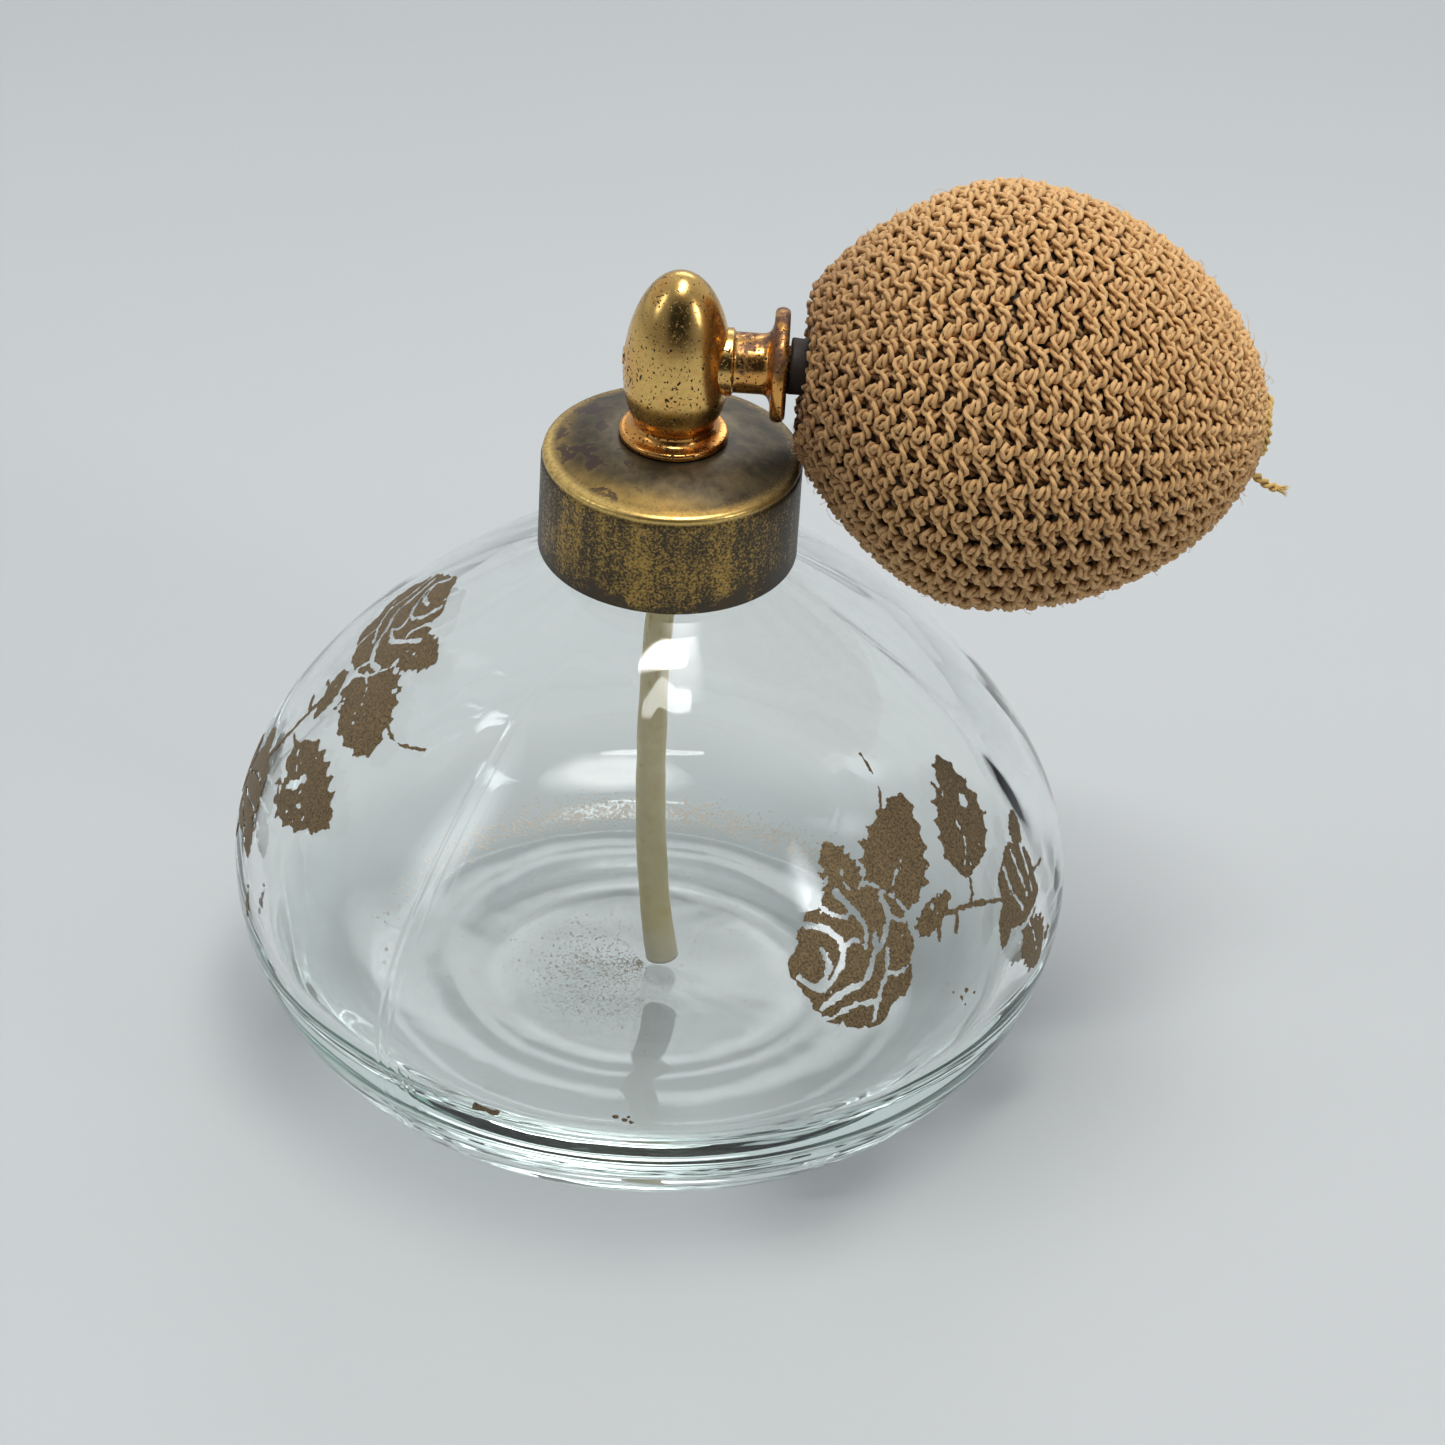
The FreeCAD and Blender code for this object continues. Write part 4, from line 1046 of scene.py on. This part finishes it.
def yarn(centre, up, ply_r, pitch, sides, phase, rad_scale):
    """Two plies twisted round centre lines (n, m, 3); up gives each line's outward direction."""
    t = np.gradient(centre, axis=1)
    t /= np.linalg.norm(t, axis=2, keepdims=True) + 1e-12
    side = np.cross(t, up)
    side /= np.linalg.norm(side, axis=2, keepdims=True) + 1e-9
    nup = np.cross(side, t)
    ln = np.concatenate([np.zeros((len(centre), 1)), np.cumsum(np.linalg.norm(np.diff(centre, axis=1), axis=2), 1)], 1)
    out_v, out_f, out_a, out_l, out_g = [], [], [], [], []
    base = 0
    n, m = centre.shape[:2]
    ang = np.linspace(0, 2 * np.pi, sides, endpoint=False)
    for ply in (0, 1):
        ph = 2 * np.pi * ln / pitch + phase[:, None] + ply * np.pi
        off = np.cos(ph)[..., None] * side + np.sin(ph)[..., None] * nup
        c = centre + off * (ply_r * 1.04 * rad_scale)[..., None]
        ring = c[:, :, None] + (ply_r * rad_scale)[..., None, None] * (np.cos(ang + 0)[None, None, :, None] * side[:, :, None] + np.sin(ang)[None, None, :, None] * nup[:, :, None])
        v = ring.reshape(-1, 3)
        k, a, cc = np.meshgrid(np.arange(n), np.arange(m - 1), np.arange(sides), indexing="ij")
        b0 = base + k * m * sides
        cn_ = (cc + 1) % sides
        quads = np.stack([b0 + a * sides + cc, b0 + a * sides + cn_, b0 + (a + 1) * sides + cn_, b0 + (a + 1) * sides + cc], -1).reshape(-1, 4)
        first_ = (base + np.arange(n) * m * sides)[:, None] + np.arange(sides)[::-1][None]
        last_ = (base + np.arange(n) * m * sides + (m - 1) * sides)[:, None] + np.arange(sides)[None]
        out_v.append(v)
        out_f.append([quads, np.concatenate([first_, last_])])
        # painted shade mask for the side of each ply that faces the other ply
        out_g.append(np.clip(-np.cos(ang[None, None] - ph[..., None]) * 1.25 - 0.15, 0, 1).reshape(-1))
        fib = (ang[None, None] - ph[..., None]) / (2 * np.pi)
        out_a.append(fib.reshape(-1) + ply * 3.7)
        out_l.append(np.broadcast_to((ln + phase[:, None] * 5)[..., None], (n, m, sides)).reshape(-1))
        base += len(v)
    faces = [np.concatenate([q[0] for q in out_f]), np.concatenate([q[1] for q in out_f])]
    return np.concatenate(out_v), faces, np.concatenate(out_a), np.concatenate(out_l), np.concatenate(out_g)


def knit_piece(name, j0, j1):
    vs, quads, caps, uvs, tint, neck_dirt_and_underside_shade, depth_shade, ply_groove_shade = [], [], [], [], [], [], [], []
    base = 0
    for kind, (ctrl, n) in STRANDS.items():
        units = []
        for j in range(j0, j1):
            for i in range(-1, COLS + 1):
                u0 = (i + (-9.0 / 34 * j) % 1.0) * PU
                if -0.2 * PU <= u0 <= LTOT - 0.15 * PU:
                    units.append((u0, j))
        units = np.array(units, float)
        c = np.array(ctrl)[None].repeat(len(units), 0)
        c = c + rg.normal(0, 0.055, c.shape) * np.array([1, 1, 0.7])
        c[:, :, :2] += rg.normal(0, 0.07, (len(units), 1, 2))
        line = catmull(c, n)
        u = units[:, :1] + line[:, :, 0] * PU / 2.14
        phi = (units[:, 1:2] + line[:, :, 1] / 3.94) * 2 * np.pi / ROWS
        rloc = np.interp(np.clip(u, 0, LTOT), u_even, mr)
        tight = np.clip(rloc / 12.0, 0.55, 1.0)
        h = line[:, :, 2] * (0.8 + 0.2 * tight)
        p = knit_place(u, phi, h)
        q = knit_place(u, phi, h + 0.5)
        up = q - p
        up /= np.linalg.norm(up, axis=2, keepdims=True)
        taper = np.ones_like(u)
        ply = 0.282 * (0.78 + 0.22 * tight) * taper
        v, f, fa, fl, gr = yarn(p, up, 1.0, 2.3, 6, rg.uniform(0, 2 * np.pi, len(units)), ply)
        ply_groove_shade.append(gr)
        vs.append(v)
        quads.append(f[0] + base)
        caps.append(f[1] + base)
        uvs.append(np.stack([fa, fl], -1))
        per = len(v) // 2
        tn = np.concatenate([np.repeat(rg.random(len(units)), n * 6)] * 2)
        tint.append(tn)
        # painted shade mask for strand parts below the knit's middle surface
        hh = np.concatenate([np.repeat(line[:, :, 2].reshape(-1), 6)] * 2)
        depth_shade.append(np.clip((-hh - 0.02) / 0.5, 0, 1))
        uu = np.concatenate([np.repeat(u.reshape(-1), 6)] * 2)
        pp = np.concatenate([np.repeat(phi.reshape(-1), 6)] * 2)
        # soiling near the neck, plus painted shade on the lower half of the bulb
        dd = np.clip(1 - (uu - 2.0) / 17.0, 0, 1) ** 1.5 * 0.95 + 0.42 * np.clip(-np.cos(pp), 0, 1)
        neck_dirt_and_underside_shade.append(dd)
        base += len(v)
    o = build(name, np.concatenate(vs), [np.concatenate(quads), np.concatenate(caps)], M_YARN, None, uv=np.concatenate(uvs),
              attrs={"tint": np.concatenate(tint), "neck_dirt_and_underside_shade": np.concatenate(neck_dirt_and_underside_shade), "depth_shade": np.concatenate(depth_shade), "ply_groove_shade": np.concatenate(ply_groove_shade)})
    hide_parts("knit_cover")
    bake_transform(o)
    return o


for k, (a, b) in enumerate(((0, 9), (9, 17), (17, 26), (26, 34))):
    knit_piece("knit_cover_%s" % "abcd"[k], a, b)
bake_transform(rubber)

# ------------------------------------------------------------ gathering cord
sv = ct_[0, 1] - 0.10
tt_ = np.linspace(0, 2 * np.pi, 60)
hoop = to_world(2.55 + 0.12 * np.sin(5 * tt_), sv + 0.12 * np.sin(3 * tt_), np.pi + tt_)
stub_rs = catmull(np.array([[(5.2, sv - 0.7, 0), (5.7, sv, 0), (6.2, sv + 0.8, 0), (6.7, sv + 1.6, 0), (6.9, sv + 2.4, 0)]]), 26)[0]
stub = to_world(stub_rs[:, 0], stub_rs[:, 1], np.full(26, np.pi) + 0.0)
cv, cf, cuv, cgr = [], [[], []], [], []
base = 0
for line_, wid in ((hoop, 0.24), (stub, 0.25)):
    cen = line_[None]
    upv = np.broadcast_to(AX, cen.shape)
    v, f, fa, fl, gr = yarn(cen, upv, 1.0, 1.9, 7, np.array([0.7]), np.full(cen.shape[:2], wid))
    cgr.append(gr)
    cv.append(v)
    cf[0].append(f[0] + base)
    cf[1].append(f[1] + base)
    cuv.append(np.stack([fa, fl], -1))
    base += len(v)
# frayed end
tip = stub[-1]
dirn = stub[-1] - stub[-3]
dirn /= np.linalg.norm(dirn)
g2 = np.random.default_rng(9)
fr = []
for k in range(34):
    side = g2.normal(0, 1, 3)
    side -= dirn * side.dot(dirn)
    side /= np.linalg.norm(side)
    ln_ = g2.uniform(0.5, 1.25)
    w = g2.uniform(0.1, 0.55)
    tq = np.linspace(0, 1, 6)[:, None]
    fr.append(stub[-3] + side * 0.25 * (1 - tq * 0.2) + dirn * (ln_ + 0.4) * tq + side * w * tq ** 2)
v, f, fa, fl = tubes(np.array(fr), np.linspace(0.075, 0.03, 6)[None].repeat(34, 0), 5)
cv.append(v)
cf[0].append(f[0] + base)
caps5 = np.concatenate([f[1], f[2]]) + base
cuv.append(np.stack([fa, fl], -1))
allv = np.concatenate(cv)
z0 = np.zeros(len(allv))
gcord = build("gathering_cord_twisted", allv, [np.concatenate(cf[0]), np.concatenate(cf[1]), caps5], M_CORD, "tail",
              uv=np.concatenate(cuv), attrs={"tint": z0 + 0.3, "neck_dirt_and_underside_shade": z0, "depth_shade": z0, "ply_groove_shade": np.concatenate(cgr + [np.zeros(len(v))])})
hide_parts("gathering_cord")

# --------------------------------------------------------------- loose fibres
g3 = np.random.default_rng(77)
nh = 230
uh, ph = g3.uniform(2, LTOT - 2, nh), g3.uniform(0, 2 * np.pi, nh)
hs = []
for k in range(nh):
    ln_ = g3.uniform(0.5, 1.5)
    du, dp = g3.normal(0, 1.0), g3.normal(0, 0.05)
    tq = np.linspace(0, 1, 7)
    lift = 0.75 + (ln_ * 0.62) * np.sin(tq * g3.uniform(1.3, 2.8))
    hs.append(knit_place(uh[k] + du * tq * ln_ * 0.8, ph[k] + dp * tq + 0.015 * np.sin(3 * tq), lift))
v, f, fa, fl = tubes(np.array(hs), np.linspace(0.028, 0.015, 7)[None].repeat(nh, 0), 4)
zz0 = np.zeros(len(v))
hairs = build("knit_fuzz", v, [f[0], np.concatenate([f[1], f[2]])], M_YARN, None, uv=np.stack([fa, fl], -1), attrs={"tint": zz0, "neck_dirt_and_underside_shade": zz0, "depth_shade": zz0})
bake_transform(hairs)


# ================================================================ the studio
def floor_mat():
    m = Mat("studio_floor")
    n1, n2 = m.noise(3.0, 3, 0.5), m.noise(40, 4, 0.6)
    col = m.mix(m.map(n1, 0.3, 0.7), (0.537, 0.560, 0.570), (0.570, 0.591, 0.599))
    col = m.mix(m.map(n2, 0.3, 0.7, 0, 0.3), col, (0.532, 0.556, 0.568))
    # painted shade: the floor darkens towards the back
    col = m.mix(m.map(m.y, 0.10, 0.30, 0.0, 0.55, True), col, (0.40, 0.425, 0.435))
    m.setb(base_color=col, roughness=0.55, specular_ior_level=0.3)
    m.bump(m.noise(600, 3), 0.05, 0.0002)
    return m.m


fl_n = 60
gx, gy = np.meshgrid(np.linspace(-3000, 3000, fl_n + 1), np.linspace(-3000, 3000, fl_n + 1), indexing="ij")
fv = np.stack([gx.ravel(), gy.ravel(), np.full(gx.size, -0.02)], -1)
i, j = np.meshgrid(np.arange(fl_n), np.arange(fl_n), indexing="ij")
ff = np.stack([i * (fl_n + 1) + j, (i + 1) * (fl_n + 1) + j, (i + 1) * (fl_n + 1) + j + 1, i * (fl_n + 1) + j + 1], -1).reshape(-1, 4)
floor = build("studio_floor", fv, [ff], floor_mat(), None)


def area(name, loc, target, sx, sy, power, color=(1, 1, 1)):
    l = bpy.data.lights.new(name, "AREA")
    l.shape = "RECTANGLE"
    l.size, l.size_y, l.energy, l.color = sx, sy, power, color
    l.use_nodes = True
    t = l.node_tree
    em = t.nodes["Emission"]
    geo = t.nodes.new("ShaderNodeNewGeometry")
    dist = t.nodes.new("ShaderNodeVectorMath")
    dist.operation = "DISTANCE"
    t.links.new(geo.outputs["Parametric"], dist.inputs[0])
    dist.inputs[1].default_value = (0.5, 0.5, 0.0)
    fall = t.nodes.new("ShaderNodeMapRange")
    fall.interpolation_type = "SMOOTHSTEP"
    t.links.new(dist.outputs["Value"], fall.inputs["Value"])
    fall.inputs["From Min"].default_value, fall.inputs["From Max"].default_value = 0.62, 0.18
    fall.inputs["To Min"].default_value, fall.inputs["To Max"].default_value = 0.0, 1.9
    t.links.new(fall.outputs["Result"], em.inputs["Strength"])
    o = bpy.data.objects.new(name, l)
    scene.collection.objects.link(o)
    o.visible_camera = False
    o.location = loc
    o.rotation_euler = (Vector(target) - Vector(loc)).to_track_quat("-Z", "Y").to_euler()
    return o


area("overhead", (0.10, 0.02, 0.95), (0, 0, 0.05), 0.50, 0.34, 3.3, (1.0, 0.99, 0.97))
area("left_window", (-0.75, -0.25, 0.55), (0, 0, 0.05), 0.26, 0.55, 0.7, (0.93, 0.97, 1.0))
area("front_fill", (0.03, -0.24, 0.96), (0, 0, 0.05), 0.30, 0.06, 2.1, (1.0, 0.99, 0.97))
area("right_window", (0.70, -0.45, 0.50), (0, 0, 0.05), 0.14, 0.50, 1.1, (0.95, 0.98, 1.0))
area("back_fill", (0.1, 0.9, 0.6), (0, 0, 0.05), 0.8, 0.4, 1.6, (0.97, 0.98, 1.0))

w = bpy.data.worlds.new("studio")
scene.world = w
w.use_nodes = True
nt = w.node_tree
bg = nt.nodes["Background"]
tc = nt.nodes.new("ShaderNodeTexCoord")
dot = nt.nodes.new("ShaderNodeVectorMath")
dot.operation = "DOT_PRODUCT"
nt.links.new(tc.outputs["Generated"], dot.inputs[0])
dv = Vector((0.02, -0.90, 0.42)).normalized()
dot.inputs[1].default_value = dv
mp = nt.nodes.new("ShaderNodeMapRange")
mp.interpolation_type = "SMOOTHSTEP"
nt.links.new(dot.outputs["Value"], mp.inputs["Value"])
mp.inputs["From Min"].default_value = math.cos(math.radians(41))
mp.inputs["From Max"].default_value = math.cos(math.radians(18))
mixw = nt.nodes.new("ShaderNodeMix")
mixw.data_type = "RGBA"
nt.links.new(mp.outputs["Result"], mixw.inputs[0])
back = nt.nodes.new("ShaderNodeVectorMath")
back.operation = "DOT_PRODUCT"
nt.links.new(tc.outputs["Generated"], back.inputs[0])
back.inputs[1].default_value = (0.0, 0.98, 0.2)
mb = nt.nodes.new("ShaderNodeMapRange")
mb.interpolation_type = "SMOOTHSTEP"
nt.links.new(back.outputs["Value"], mb.inputs["Value"])
mb.inputs["From Min"].default_value = -0.55
mb.inputs["From Max"].default_value = 0.75
walls = nt.nodes.new("ShaderNodeMix")
walls.data_type = "RGBA"
nt.links.new(mb.outputs["Result"], walls.inputs[0])
walls.inputs[6].default_value = (0.42, 0.43, 0.45, 1)
walls.inputs[7].default_value = (1.15, 1.19, 1.22, 1)
nt.links.new(walls.outputs[2], mixw.inputs[6])
mixw.inputs[7].default_value = (0.03, 0.03, 0.035, 1)
nt.links.new(mixw.outputs[2], bg.inputs["Color"])
bg.inputs["Strength"].default_value = 0.50
